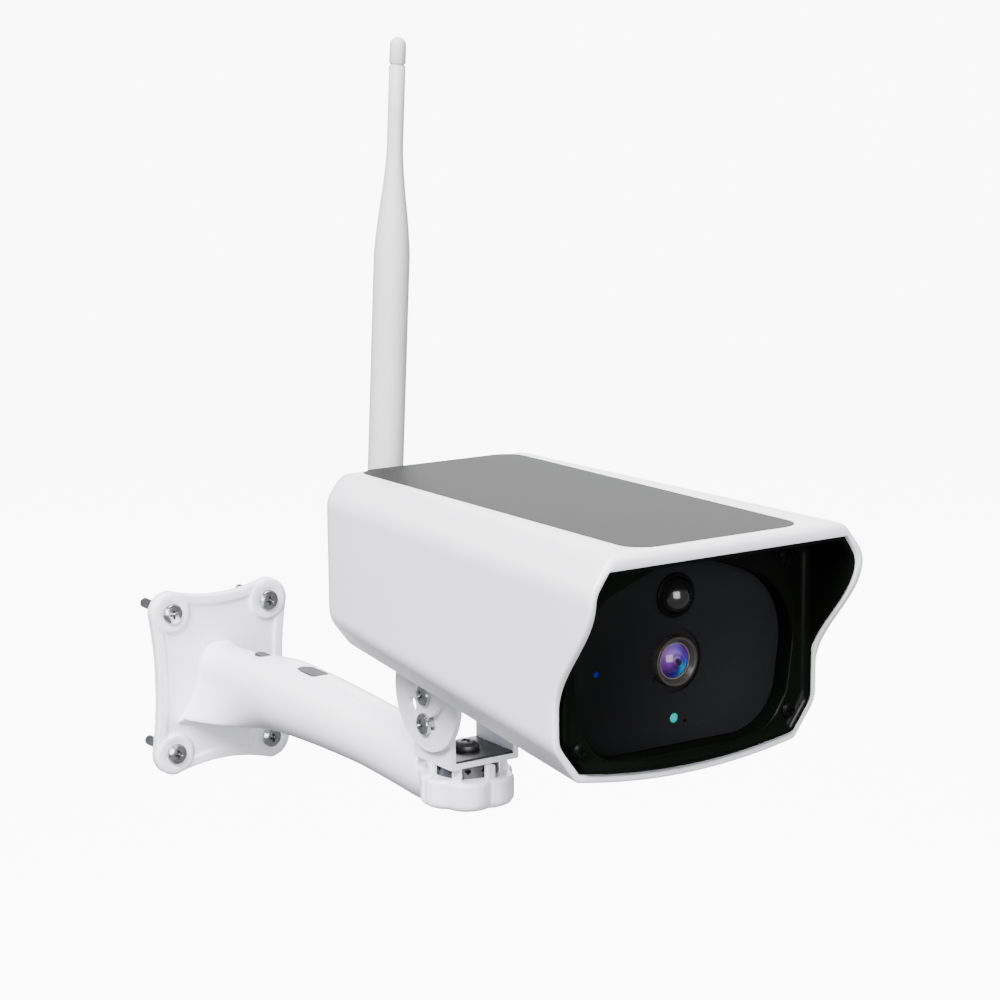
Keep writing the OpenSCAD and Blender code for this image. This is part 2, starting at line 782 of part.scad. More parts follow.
module lens_barrel() {
    color([0.07, 0.07, 0.07]) at_lens() difference() {
        translate([0, lens_front, 0]) union() {
            rod_y(lens_d, front_plate_t + barrel_proud + 1);
            rod_y(12, barrel_back - lens_front);
        }
        translate([0, lens_front - 0.5, 0]) rotate([-90, 0, 0])
            cylinder(d1 = lens_d - 1, d2 = glass_d, h = ring_y - lens_front + 0.5);
        translate([0, ring_y - 0.1, 0]) rod_y(glass_d, 2.3);
        translate([0, ring_y, 0]) rod_y(glass_d - 2.4, barrel_back);
    }
}

module lens_ring() {
    color([0.3, 0.28, 0.26]) at_lens() translate([0, ring_y, 0]) difference() {
        rod_y(glass_d - 0.1, glass_y - ring_y);
        translate([0, -1, 0]) rod_y(glass_d - 0.9, 3);
    }
}

// front element, domed towards the scene
module lens_glass() {
    dome_r = 9;
    open_r = glass_d / 2 - 0.55;
    edge_t = 1.2;
    color([0.45, 0.2, 0.75]) at_lens() translate([0, glass_y, 0]) {
        rod_y(glass_d - 0.1, edge_t);
        rotate([90, 0, 0]) rotate_extrude() intersection() {
            translate([0, -sqrt(dome_r * dome_r - open_r * open_r)]) circle(dome_r);
            square([open_r, dome_r]);
        }
    }
}

module lens_holder() {
    w = 17;
    color([0.08, 0.08, 0.08]) at_lens() difference() {
        translate([-w / 2, plate_back + 4, -w / 2]) cube([w, sensor_y - plate_back - 4, w]);
        translate([0, plate_back, 0]) rod_y(12 + 2 * fit, 20);
    }
}

module sensor_board() {
    color("darkgreen") at_lens() translate([-19, sensor_y, -16]) cube([38, 1.2, 32]);
}

module image_sensor() {
    color("slategray") at_lens() translate([-4, sensor_y - 1, -3]) cube([8, 1, 6]);
}

module ir_board() {
    color("darkgreen") at_lens() difference() {
        translate([0, plate_back + 2.6, 0]) slab_y(0, 1) round_rect(60, 24, 6);
        translate([0, plate_back, 0]) rod_y(lens_d + 5.2, 6);
        translate([0, plate_back, lens_drop - pir_drop]) rod_y(pir_d + 4, 6);
        translate([link_x, plate_back, 0]) rod_y(5, 6);
    }
}

module ir_leds() {
    color("lightgray") at_lens() for (x = [-1, 1], z = [-1, 1])
        translate([x * 17, plate_back + 0.4, z * 6.5]) rod_y(4.6, 2.2);
}

module at_pir() { in_head() translate([0, 0, -pir_drop]) children(); }

module pir_dome() {
    r = pir_d / 2 - 1.3;
    color([0.05, 0.05, 0.05]) at_pir() translate([0, plate_y + 0.6, 0]) rotate([90, 0, 0])
        rotate_extrude() {
            difference() {
                circle(r);
                circle(r - 0.8);
                translate([-20, -40]) square([40, 40]);
                translate([-20, -20]) square([20, 40]);
            }
            translate([r - 0.8, -2]) square([0.8, 2]);
        }
}

module pir_collar() {
    color([0.04, 0.04, 0.04]) at_pir() difference() {
        union() {
            translate([0, plate_y - 1, 0]) rod_y(pir_d, 1);
            translate([0, plate_y, 0]) rod_y(pir_d - 1.2, front_plate_t + 0.8);
        }
        translate([0, plate_y - 2, 0]) rod_y(pir_d - 2.6 + 2 * fit, front_plate_t + 4);
    }
}

module pir_sensor() {
    color("silver") at_pir() {
        translate([0, plate_back + 0.4, 0]) rod_y(9, 4);
        translate([0, plate_back + 4.4, 0]) rod_y(10, 0.6);
    }
}

module lamp(d) {
    translate([0, plate_y - 0.2, 0]) rod_y(d, front_plate_t + 1.6);
    translate([0, plate_back + 0.1, 0]) rod_y(d + 1, 1.4);
}

module status_led() { color([0, 0.8, 0.7]) in_head() translate([0, 0, -status_drop]) lamp(lamp_d); }
module link_led() { color([0.1, 0.15, 0.7]) in_head() translate([link_x, 0, link_z]) lamp(lamp_d - 1); }

module microphone() {
    color("silver") in_head() translate([mic_x, plate_back + 0.2, mic_z]) rod_y(3.4, 1.6);
}

// ---- inside the housing ----

module main_board() {
    color("darkgreen") in_head() difference() {
        translate([-board_w / 2, board_y, board_z]) cube([board_w, 88, board_t]);
        for (x = [-1, 1], y = [0, 1]) translate([x * 26, board_y + 8 + y * 72, board_z - 1])
            cylinder(d = 2.5, h = 4);
    }
}

module board_chips() {
    z = board_z + board_t;
    color([0.1, 0.1, 0.1]) in_head() {
        translate([-8, board_y + 20, z]) cube([15, 15, 1.2]);
        translate([-24, board_y + 24, z]) cube([10, 12, 1]);
        translate([12, board_y + 42, z]) cube([9, 9, 1]);
        translate([-20, board_y + 48, z]) cube([12, 10, 3]);
    }
}

module usb_socket() {
    color("silver") in_head() translate([usb_x, body_l - 1.2 - 7.4, port_z]) difference() {
        slab_y(0, 7.4) round_rect(9, 3.2, 1.5);
        slab_y(1.2, 8) round_rect(8.2, 2.4, 1.15);
    }
}

module card_socket() {
    w = 13.6;
    color("silver") in_head() translate([card_x - w / 2, body_l - 1.2 - 12, port_z - 1.1])
        difference() {
            cube([w, 12, 2.2]);
            translate([1, 1, 0.5]) cube([w - 2, 12, 1.2]);
        }
}

module battery_tray() {
    color([0.1, 0.1, 0.1]) in_head() difference() {
        translate([-tray_half, tray_y, tray_bottom]) cube([2 * tray_half, tray_l, tray_top - tray_bottom]);
        translate([0, tray_y + tray_t, 0]) for (i = [0 : cell_n - 1])
            translate([(i - (cell_n - 1) / 2) * cell_pitch, 0, cell_z]) {
                rod_y(cell_d + 0.2, cell_l + 2);
                translate([-cell_d / 2 - 0.1, 0, 0]) cube([cell_d + 0.2, cell_l + 2, 10]);
            }
    }
}

module battery_cells() {
    color("royalblue") in_head() for (i = [0 : cell_n - 1])
        translate([(i - (cell_n - 1) / 2) * cell_pitch, tray_y + tray_t + 0.6, cell_z]) {
            rod_y(cell_d, cell_l - 1);
            translate([0, cell_l - 1, 0]) rod_y(6, 1);
        }
}

// ---- rear cover and its fittings ----

module rear_cover() {
    lug = 3;
    color("whitesmoke") in_head() difference() {
        union() {
            slab_y(body_l - rear_t + 0.8, rear_t - 0.8) translate([0, cover_z])
                round_rect(cover_w, cover_h, cover_r);
            translate([0, body_l - rear_t, 0]) slab_y(0, rear_t) translate([0, cover_z])
                round_rect(cover_w - 2 * cover_lip - 1, cover_h - 2 * cover_lip - 1, 2);
            translate([0, body_l - 5, jack_z]) rod_y(11, 5);
            translate([button_x, body_l - 5.9, port_z]) rod_y(8, 4.9);
            both_sides() translate([flap_w / 2 - lug - 0.2, body_l - 0.5, flap_pin_z - 1.2])
                cube([lug, flap_pin_y + 1.3 - body_l + 0.5, 2.4]);
        }
        slab_y(body_l - 1, 2) translate([0, port_z]) round_rect(port_w - 2, port_h - 1, 2);
        translate([0, body_l - 8, jack_z]) rod_y(jack_d + 0.1, 12);
        translate([button_x, body_l - 8, port_z]) rod_y(button_d + 2 * fit, 12);
        slab_y(body_l - 8, 9) translate([usb_x, port_z]) round_rect(9 + 2 * fit, 3.2 + 2 * fit, 1.5);
        translate([card_x - 6.8 - fit, body_l - 8, port_z - 1.1 - fit])
            cube([13.6 + 2 * fit, 9, 2.2 + 2 * fit]);
        at_rear_screws() translate([0, body_l - 4, 0]) rod_y(2.4, 6);
        at_rear_screws() translate([0, body_l - 1.2, 0]) rod_y(4.6, 2);
        translate([-flap_w, flap_pin_y, flap_pin_z]) rod_x(flap_pin_d, 2 * flap_w);
    }
}

module rear_gasket() {
    color("dimgray") in_head() slab_y(body_l - rear_t, 0.8) translate([0, cover_z]) difference() {
        round_rect(cover_w - 0.4, cover_h - 0.4, cover_r);
        round_rect(cover_w - 2 * cover_lip - 0.6, cover_h - 2 * cover_lip - 0.6, 2);
        for (x = [-1, 1], z = [-1, 1]) translate([x * (cover_w / 2 - 3), z * (cover_h / 2 - 3)])
            circle(d = 2.6);
    }
}

module rear_screws() {
    color("silver") in_head() at_rear_screws() translate([0, body_l - 1.2, 0])
        mirror([0, 1, 0]) screw(2, 5.4, 4.2, 1.2);
}

module antenna_jack() {
    color("goldenrod") in_head() translate([0, 0, jack_z]) {
        translate([0, body_l - 7, 0]) rod_y(9, 2);
        translate([0, body_l - 5, 0]) rod_y(jack_d, 5 + nut_t + 5.8);
    }
}

module jack_nut() {
    color("goldenrod") in_head() translate([0, body_l, jack_z]) difference() {
        rod_y(10.4, nut_t, $fn = 6);
        translate([0, -1, 0]) rod_y(jack_d, nut_t + 2);
    }
}

module flap_pin() {
    color("silver") in_head() translate([-flap_w / 2 + 0.2, flap_pin_y, flap_pin_z])
        rod_x(flap_pin_d, flap_w - 0.4);
}

module power_button() {
    cap = 5.6;
    color("dimgray") in_head() translate([button_x, body_l - 0.5 - cap, port_z]) {
        rod_y(button_d, cap);
        translate([0, -0.9, 0]) rod_y(button_d + 1.6, 1);
    }
}

module port_flap() {
    w = flap_w - 7;
    color("gray") in_head() difference() {
        union() {
            translate([-w / 2, flap_y, flap_pin_z + 0.8])
                cube([w, flap_t, flap_top_z - flap_pin_z - 0.8]);
            translate([-w / 2, flap_pin_y, flap_pin_z]) rod_x(2 * flap_barrel_r, w);
            translate([-w / 2, flap_y + 0.2, flap_pin_z]) cube([w, flap_t - 0.2, 1]);
            translate([-5, flap_y + flap_t, flap_top_z - 2.4]) cube([10, 0.9, 1.6]);
        }
        translate([-flap_w, flap_pin_y, flap_pin_z]) rod_x(flap_pin_d + 2 * fit, 2 * flap_w);
    }
}

// ---- antenna ----

// moves to the fold pin's middle, with the antenna's sideways lean
module at_fold() { in_head() translate([0, fold_y, jack_z]) rotate([0, whip_lean, 0]) children(); }

module antenna_swivel() {
    back = fold_y - swivel_y;
    bore = body_l + nut_t + 0.4 + 6.4;
    color("gainsboro") at_fold() difference() {
        union() {
            translate([0, -back, 0]) rod_y(10.4, back - whip_d / 2 - gap);
            translate([0, ferrule_y - fold_y, 0]) rod_y(9.2, swivel_y - ferrule_y);
            translate([-tongue_w / 2, -whip_d / 2 - gap - 0.5, -4.2])
                cube([tongue_w, whip_d / 2 + gap + 0.5, 8.4]);
            translate([-tongue_w / 2, 0, 0]) rod_x(2 * tongue_r, tongue_w);
        }
        translate([0, -fold_back - 1, 0]) rod_y(jack_d + 2 * fit, bore - body_l + 1);
        translate([-20, 0, 0]) rod_x(fold_pin_d, 40);
    }
}

module fold_pin() {
    color("silver") at_fold() translate([-whip_d / 2 + 0.8, 0, 0]) rod_x(fold_pin_d, whip_d - 1.6);
}

module antenna_sleeve() {
    hub = whip_d / 2;
    color("gainsboro") at_fold() difference() {
        union() {
            translate([0, 0, hub + 0.2]) cylinder(d = whip_d, h = thick_l - hub - 0.2);
            translate([0, 0, thick_l]) cylinder(d1 = whip_d, d2 = whip_tip_d, h = thin_l - thick_l);
            translate([0, 0, thin_l]) cylinder(d = whip_tip_d, h = groove_l - thin_l);
            intersection() {
                union() {
                    translate([-hub, 0, 0]) rod_x(whip_d, whip_d);
                    translate([-hub, -hub, 0]) cube([whip_d, whip_d, hub + 0.2]);
                }
                translate([0, 0, -hub - 1]) cylinder(d = whip_d, h = 2 * hub + 2);
            }
        }
        translate([-fork_in, -whip_d, -whip_d]) cube([2 * fork_in, 2 * whip_d, whip_d + tongue_r + 0.3]);
        translate([-20, 0, 0]) rod_x(fold_pin_d + 2 * fit, 40);
    }
}

module antenna_tip() {
    l = whip_l - groove_l;
    r = whip_tip_d / 2;
    color("gainsboro") at_fold() translate([0, 0, groove_l]) {
        cylinder(r = r - 0.5, h = 0.5);
        translate([0, 0, 0.5]) cylinder(r = r, h = l - 0.5 - r);
        translate([0, 0, l - r]) intersection() {
            sphere(r);
            translate([-r, -r, 0]) cube([2 * r, 2 * r, r]);
        }
    }
}

wall_plate();
wall_screws();
arm();
arm_screws();
arm_port_plugs();
detent_ring();
pan_yoke();
yoke_floor_plate();
pan_screw();
pan_nut();
pivot_screws();
lock_screws();
ear_nuts();
tilt_bracket();
bracket_screws();
housing();
solar_gasket();
solar_board();
solar_cells();
solar_glass();
front_bezel();
front_gasket();
bezel_screws();
front_plate();
lens_barrel();
lens_ring();
lens_glass();
lens_holder();
sensor_board();
image_sensor();
ir_board();
ir_leds();
pir_dome();
pir_collar();
pir_sensor();
status_led();
link_led();
microphone();
main_board();
board_chips();
usb_socket();
card_socket();
battery_tray();
battery_cells();
rear_cover();
rear_gasket();
rear_screws();
antenna_jack();
jack_nut();
flap_pin();
power_button();
port_flap();
antenna_swivel();
fold_pin();
antenna_sleeve();
antenna_tip();
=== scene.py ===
# Solar-powered security camera on a wall arm: looks, light and camera

import bmesh
import bpy
from math import atan2, cos, degrees, hypot, pi, radians, sin, sqrt
from mathutils import Matrix, Vector


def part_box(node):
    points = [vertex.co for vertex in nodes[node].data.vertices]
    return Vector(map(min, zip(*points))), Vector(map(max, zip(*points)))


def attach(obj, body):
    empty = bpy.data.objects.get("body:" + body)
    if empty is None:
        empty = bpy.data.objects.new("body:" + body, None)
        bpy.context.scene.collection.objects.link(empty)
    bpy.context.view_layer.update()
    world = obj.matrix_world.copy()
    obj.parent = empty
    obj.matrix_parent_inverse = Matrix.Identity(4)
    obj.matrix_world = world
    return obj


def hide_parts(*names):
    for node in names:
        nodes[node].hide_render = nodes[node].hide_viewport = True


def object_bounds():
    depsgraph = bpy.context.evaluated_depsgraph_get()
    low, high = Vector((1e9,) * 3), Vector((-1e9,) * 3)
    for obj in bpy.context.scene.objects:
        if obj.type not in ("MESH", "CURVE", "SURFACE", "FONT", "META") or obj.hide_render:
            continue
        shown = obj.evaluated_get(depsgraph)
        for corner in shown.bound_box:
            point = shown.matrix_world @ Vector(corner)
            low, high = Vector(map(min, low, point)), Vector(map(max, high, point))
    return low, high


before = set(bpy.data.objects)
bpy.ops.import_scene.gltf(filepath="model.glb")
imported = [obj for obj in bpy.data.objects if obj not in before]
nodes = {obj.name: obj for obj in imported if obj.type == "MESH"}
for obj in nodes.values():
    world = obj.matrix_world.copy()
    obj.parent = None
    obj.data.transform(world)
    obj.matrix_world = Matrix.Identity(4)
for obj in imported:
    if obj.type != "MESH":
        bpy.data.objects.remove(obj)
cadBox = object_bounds()
mm = 0.001

# the camera's own frame starts at its top front edge, Y back and Z down from the top face
shellLow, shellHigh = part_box("housing")
headOrigin = Vector((0, shellLow.y, shellHigh.z))


def middle(node):
    low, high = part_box(node)
    return (low + high) / 2


# small mesh helpers

def makeObject(name, points, faces, at=Vector((0, 0, 0))):
    mesh = bpy.data.meshes.new(name)
    mesh.from_pydata([Vector(p) * mm + at for p in points], [], faces)
    mesh.validate()
    made = bmesh.new()
    made.from_mesh(mesh)
    bmesh.ops.recalc_face_normals(made, faces=made.faces)
    made.to_mesh(mesh)
    made.free()
    obj = bpy.data.objects.new(name, mesh)
    bpy.context.scene.collection.objects.link(obj)
    return obj


def settle(obj):   # keeps what the modifiers make as the object's own mesh
    bpy.context.view_layer.update()
    shown = obj.evaluated_get(bpy.context.evaluated_depsgraph_get())
    mesh = bpy.data.meshes.new_from_object(shown)
    obj.modifiers.clear()
    obj.data = mesh
    return obj


def combine(obj, other, how="DIFFERENCE", solver="EXACT"):
    step = obj.modifiers.new("combine", "BOOLEAN")
    step.operation = how
    step.solver = solver
    step.object = other
    settle(obj)
    bpy.data.objects.remove(other)
    return obj


def join(obj, others):   # adds the others' faces to obj's mesh
    whole = bmesh.new()
    whole.from_mesh(obj.data)
    for other in others:
        whole.from_mesh(other.data)
        bpy.data.objects.remove(other)
    whole.to_mesh(obj.data)
    whole.free()
    return obj


def shade(obj, angle=32):   # smooth, with edges sharper than the angle kept crisp
    for face in obj.data.polygons:
        face.use_smooth = True
    obj.data.set_sharp_from_angle(angle=radians(angle))
    return obj


def bevelEdges(obj, width, segments, angle):   # rounds the edges sharper than the angle
    step = obj.modifiers.new("soft edges", "BEVEL")
    step.width = width * mm
    step.segments = segments
    step.limit_method = "ANGLE"
    step.angle_limit = radians(angle)
    return settle(obj)


def recast(obj, voxel, rounds):   # one skin over joined shapes, with their inner corners smoothed
    remesh = obj.modifiers.new("cast", "REMESH")
    remesh.mode = "VOXEL"
    remesh.voxel_size = voxel * mm
    smooth = obj.modifiers.new("cast smooth", "SMOOTH")
    smooth.factor = 0.5
    smooth.iterations = rounds
    return settle(obj)


def soften(obj, width, segments=2, angle=28):   # small bevel on every sharp edge of a kept part
    for name in ("custom_normal", "sharp_edge", "sharp_face"):
        if name in obj.data.attributes:
            obj.data.attributes.remove(obj.data.attributes[name])
    for face in obj.data.polygons:
        face.use_smooth = True
    weld = obj.modifiers.new("weld", "WELD")
    weld.merge_threshold = 0.002 * mm
    bevel = obj.modifiers.new("soft edges", "BEVEL")
    bevel.width = width * mm
    bevel.segments = segments
    bevel.limit_method = "ANGLE"
    bevel.angle_limit = radians(angle)
    bevel.use_clamp_overlap = True
    bevel.harden_normals = True
    weight = obj.modifiers.new("even shading", "WEIGHTED_NORMAL")
    weight.keep_sharp = True
    return obj


def rings(name, rows, capStart=True, capEnd=True, at=Vector((0, 0, 0)), closed=True):
    n = len(rows[0])
    points = [p for row in rows for p in row]
    faces = []
    for j in range(len(rows) - 1):
        for i in range(n if closed else n - 1):
            k = (i + 1) % n
            faces.append((j * n + i, j * n + k, (j + 1) * n + k, (j + 1) * n + i))
    if capStart:
        faces.append(tuple(range(n)))
    if capEnd:
        faces.append(tuple((len(rows) - 1) * n + i for i in range(n)))
    return makeObject(name, points, faces, at)


def turned(name, profile, at=Vector((0, 0, 0)), axis="Y", count=64):
    # profile of (radius, height) pairs, turned about the axis; a radius of nought closes the end
    points, faces, rowStart = [], [], []
    for radius, height in profile:
        rowStart.append(len(points))
        steps = 1 if radius < 1e-6 else count
        for i in range(steps):
            a = 2 * pi * i / steps
            x, z = radius * cos(a), radius * sin(a)
            points.append({"Y": (x, height, z), "Z": (x, z, height), "X": (height, x, z)}[axis])
    for j in range(len(profile) - 1):
        lowOne, highOne = profile[j][0] < 1e-6, profile[j + 1][0] < 1e-6
        for i in range(count):
            k = (i + 1) % count
            a, b = rowStart[j], rowStart[j + 1]
            if lowOne and highOne:
                continue
            if lowOne:
                faces.append((a, b + k, b + i))
            elif highOne:
                faces.append((a + i, a + k, b))
            else:
                faces.append((a + i, a + k, b + k, b + i))
    if profile[0][0] > 1e-6 and profile[0] != profile[-1]:
        faces.append(tuple(rowStart[0] + i for i in range(count)))
    if profile[-1][0] > 1e-6 and profile[0] != profile[-1]:
        faces.append(tuple(rowStart[-1] + i for i in range(count)))
    return makeObject(name, points, faces, at)


def arc(centre, radius, start, end, steps):   # points on a profile's round corner, angles in degrees
    return [(centre[0] + radius * cos(radians(start + (end - start) * i / steps)),
             centre[1] + radius * sin(radians(start + (end - start) * i / steps)))
            for i in range(steps + 1)]


def roundedOutline(width, height, radius, steps=8):
    points = []
    for sx, sz, start in ((1, 1, 0), (-1, 1, 90), (-1, -1, 180), (1, -1, 270)):
        centre = (sx * (width / 2 - radius), sz * (height / 2 - radius))
        points += arc(centre, radius, start, start + 90, steps)
    return points


def prism(name, outline, low, high, at=Vector((0, 0, 0)), axis="Z"):
    def corner(p, h):
        return {"Z": (p[0], p[1], h), "Y": (p[0], h, p[1]), "X": (h, p[0], p[1])}[axis]
    return rings(name, [[corner(p, low) for p in outline], [corner(p, high) for p in outline]], at=at)


def smoothStep(u):
    u = max(0.0, min(1.0, u))
    return u * u * (3 - 2 * u)


def mix(a, b, t):
    return a + (b - a) * t


# materials

def finish(name, colour, roughness, spread=0.04, grain=900, bump=0.02, metallic=0.0, coat=0.0,
           coatRough=0.06, mottle=28, roughSpread=0.08, specular=0.5):
    # moulded or painted surface: slow mottling in colour, fine grain in roughness and relief
    made = bpy.data.materials.new(name)
    made.use_nodes = True
    tree = made.node_tree
    shader = tree.nodes["Principled BSDF"]
    shader.inputs["Metallic"].default_value = metallic
    shader.inputs["Coat Weight"].default_value = coat
    shader.inputs["Coat Roughness"].default_value = coatRough
    shader.inputs["Specular IOR Level"].default_value = specular
    place = tree.nodes.new("ShaderNodeTexCoord")
    slow = tree.nodes.new("ShaderNodeTexNoise")
    slow.inputs["Scale"].default_value = mottle
    slow.inputs["Detail"].default_value = 4
    fine = tree.nodes.new("ShaderNodeTexNoise")
    fine.inputs["Scale"].default_value = grain
    fine.inputs["Detail"].default_value = 3
    for noise in (slow, fine):
        tree.links.new(place.outputs["Object"], noise.inputs["Vector"])
    tint = tree.nodes.new("ShaderNodeValToRGB")
    tint.color_ramp.elements[0].position = 0.3
    tint.color_ramp.elements[1].position = 0.7
    tint.color_ramp.elements[0].color = [c * (1 - spread) for c in colour] + [1]
    tint.color_ramp.elements[1].color = [min(1, c * (1 + spread)) for c in colour] + [1]
    tree.links.new(slow.outputs["Fac"], tint.inputs["Fac"])
    tree.links.new(tint.outputs["Color"], shader.inputs["Base Color"])
    rough = tree.nodes.new("ShaderNodeMapRange")
    rough.inputs["To Min"].default_value = max(0.02, roughness - roughSpread)
    rough.inputs["To Max"].default_value = min(1, roughness + roughSpread)
    tree.links.new(fine.outputs["Fac"], rough.inputs["Value"])
    tree.links.new(rough.outputs["Result"], shader.inputs["Roughness"])
    relief = tree.nodes.new("ShaderNodeBump")
    relief.inputs["Strength"].default_value = bump
    relief.inputs["Distance"].default_value = 0.0004
    tree.links.new(fine.outputs["Fac"], relief.inputs["Height"])
    tree.links.new(relief.outputs["Normal"], shader.inputs["Normal"])
    return made


def lensPaintedReflections(name, at, radius):
    # painted reflections of a coated lens, given as emission: violet above, blue and cyan below, dark pupil
    made = bpy.data.materials.new(name)
    made.use_nodes = True
    tree = made.node_tree
    link = tree.links.new
    shader = tree.nodes["Principled BSDF"]
    shader.inputs["Roughness"].default_value = 0.06
    shader.inputs["Base Color"].default_value = (0.004, 0.003, 0.008, 1)
    shader.inputs["Specular IOR Level"].default_value = 0.25
    shader.inputs["Coat Weight"].default_value = 0.35
    shader.inputs["Coat Roughness"].default_value = 0.03
    place = tree.nodes.new("ShaderNodeTexCoord")
    centred = tree.nodes.new("ShaderNodeMapping")
    centred.vector_type = "TEXTURE"
    centred.inputs["Location"].default_value = at
    centred.inputs["Scale"].default_value = (radius * mm,) * 3
    link(place.outputs["Object"], centred.inputs["Vector"])
    split = tree.nodes.new("ShaderNodeSeparateXYZ")
    link(centred.outputs["Vector"], split.inputs["Vector"])

    def math(operation, a, b=None):
        node = tree.nodes.new("ShaderNodeMath")
        node.operation = operation
        for socket, value in zip(node.inputs, (a, b)):
            if value is None:
                continue
            if isinstance(value, (int, float)):
                socket.default_value = value
            else:
                link(value, socket)
        return node.outputs["Value"]

    x, z = split.outputs["X"], split.outputs["Z"]
    angle = math("ARCTAN2", z, x)
    turn = math("ADD", math("MULTIPLY", angle, 1 / (2 * pi)), 0.5)
    paintedReflectionHues = tree.nodes.new("ShaderNodeValToRGB")
    ramp = paintedReflectionHues.color_ramp
    stops = ((0.0, (0.26, 0.05, 0.52)), (0.11, (0.07, 0.0, 0.2)), (0.2, (0.015, 0.0, 0.2)),
             (0.27, (0.0, 0.05, 0.38)), (0.36, (0.0, 0.42, 0.8)), (0.45, (0.0, 0.16, 0.75)),
             (0.53, (0.05, 0.02, 0.65)), (0.62, (0.17, 0.0, 0.45)), (0.74, (0.26, 0.2, 0.85)),
             (0.87, (0.5, 0.22, 0.8)), (1.0, (0.26, 0.05, 0.52)))
    while len(ramp.elements) < len(stops):
        ramp.elements.new(0.5)
    for element, (position, colour) in zip(ramp.elements, stops):
        element.position = position
        element.color = (*colour, 1)
    link(turn, paintedReflectionHues.inputs["Fac"])
    # rings of painted reflection brightness, dark at the pupil
    far = math("SQRT", math("ADD", math("MULTIPLY", x, x), math("MULTIPLY", z, z)))
    swirl = math("ADD", far, math("MULTIPLY", math("SINE", math("MULTIPLY", angle, 2)), 0.05))
    depth = tree.nodes.new("ShaderNodeValToRGB")
    depth.color_ramp.elements[0].position = 0.0
    depth.color_ramp.elements[0].color = (0.01, 0.01, 0.03, 1)
    depth.color_ramp.elements[1].position = 1.0
    depth.color_ramp.elements[1].color = (0.04, 0.03, 0.08, 1)
    for position, level in ((0.15, 0.02), (0.25, 1.0), (0.34, 0.45), (0.5, 0.95), (0.78, 0.55), (0.9, 0.8)):
        element = depth.color_ramp.elements.new(position)
        element.color = (level, level, level, 1)
    link(swirl, depth.inputs["Fac"])
    colour = tree.nodes.new("ShaderNodeMix")
    colour.data_type = "RGBA"
    colour.blend_type = "MULTIPLY"
    colour.inputs["Factor"].default_value = 1.0
    link(paintedReflectionHues.outputs["Color"], colour.inputs["A"])
    link(depth.outputs["Color"], colour.inputs["B"])
    # the painted reflection colours go to emission, so the glass glows with them
    link(colour.outputs["Result"], shader.inputs["Emission Color"])
    shader.inputs["Emission Strength"].default_value = 0.75
    return made


def lampLens(name, colour, glow):
    # small lit lamp with faint mottling
    made = finish(name, colour, 0.3, spread=0.12, grain=1500, bump=0.01, mottle=700, specular=0.03)
    tree = made.node_tree
    shader = tree.nodes["Principled BSDF"]
    tint = next(n for n in tree.nodes if n.type == "VALTORGB")
    tree.links.new(tint.outputs["Color"], shader.inputs["Emission Color"])
    shader.inputs["Emission Strength"].default_value = glow
    return made


def paintedShadeWindow(name, colour, litSideLevel, shadedSideLevel):
    # tinted window with painted shade: darker towards its left side (negative X), standing in for the shadow
    # of the hood's wall
    made = finish(name, colour, 0.46, spread=0.05, grain=2600, bump=0.02, specular=0.08)
    tree = made.node_tree
    tint = next(n for n in tree.nodes if n.type == "VALTORGB")
    place = next(n for n in tree.nodes if n.type == "TEX_COORD")
    split = tree.nodes.new("ShaderNodeSeparateXYZ")
    tree.links.new(place.outputs["Object"], split.inputs["Vector"])
    paintedShadeAcross = tree.nodes.new("ShaderNodeMapRange")
    paintedShadeAcross.interpolation_type = "SMOOTHSTEP"
    paintedShadeAcross.inputs["From Min"].default_value = -0.046
    paintedShadeAcross.inputs["From Max"].default_value = 0.03
    paintedShadeAcross.inputs["To Min"].default_value = shadedSideLevel
    paintedShadeAcross.inputs["To Max"].default_value = litSideLevel
    tree.links.new(split.outputs["X"], paintedShadeAcross.inputs["Value"])
    # scales the tint by the painted shade across the plate
    deep = tree.nodes.new("ShaderNodeVectorMath")
    deep.operation = "SCALE"
    tree.links.new(tint.outputs["Color"], deep.inputs[0])
    tree.links.new(paintedShadeAcross.outputs["Result"], deep.inputs["Scale"])
    tree.links.new(deep.outputs["Vector"], tree.nodes["Principled BSDF"].inputs["Base Color"])
    return made


whiteShell = finish("whiteShell", (0.68, 0.675, 0.725), 0.34, spread=0.008, grain=1400, bump=0.012,
                    coat=0.15, coatRough=0.18)
whiteCasting = finish("whiteCasting", (0.85, 0.845, 0.91), 0.33, spread=0.012, grain=1100, bump=0.05,
                      coat=0.35, coatRough=0.16)
blackGloss = finish("blackGloss", (0.0018, 0.0024, 0.0017), 0.24, spread=0.25, grain=600, bump=0.006,
                    specular=0.045, roughSpread=0.05)
# the plate's colour carries painted shade, darker towards its left
plateGrey = paintedShadeWindow("plateGrey", (0.0068, 0.0068, 0.0076), litSideLevel=1.35, shadedSideLevel=0.12)
solarFace = finish("solarFace", (0.0062, 0.0068, 0.0065), 0.5, spread=0.06, grain=3200, bump=0.03,
                   specular=0.07, mottle=9)
solarSilicon = finish("solarSilicon", (0.01, 0.014, 0.045), 0.25, spread=0.3, grain=400, coat=0.5)
boardGreen = finish("boardGreen", (0.01, 0.09, 0.03), 0.4, spread=0.2, grain=500, bump=0.1)
chipBlack = finish("chipBlack", (0.012, 0.012, 0.012), 0.5, spread=0.15, grain=1800, bump=0.06)
screwBlack = finish("screwBlack", (0.0015, 0.0018, 0.0015), 0.3, spread=0.2, grain=900, specular=0.08)
brightSteel = finish("brightSteel", (0.5, 0.5, 0.51), 0.17, spread=0.25, grain=1200, bump=0.03,
                     metallic=1.0, mottle=260)
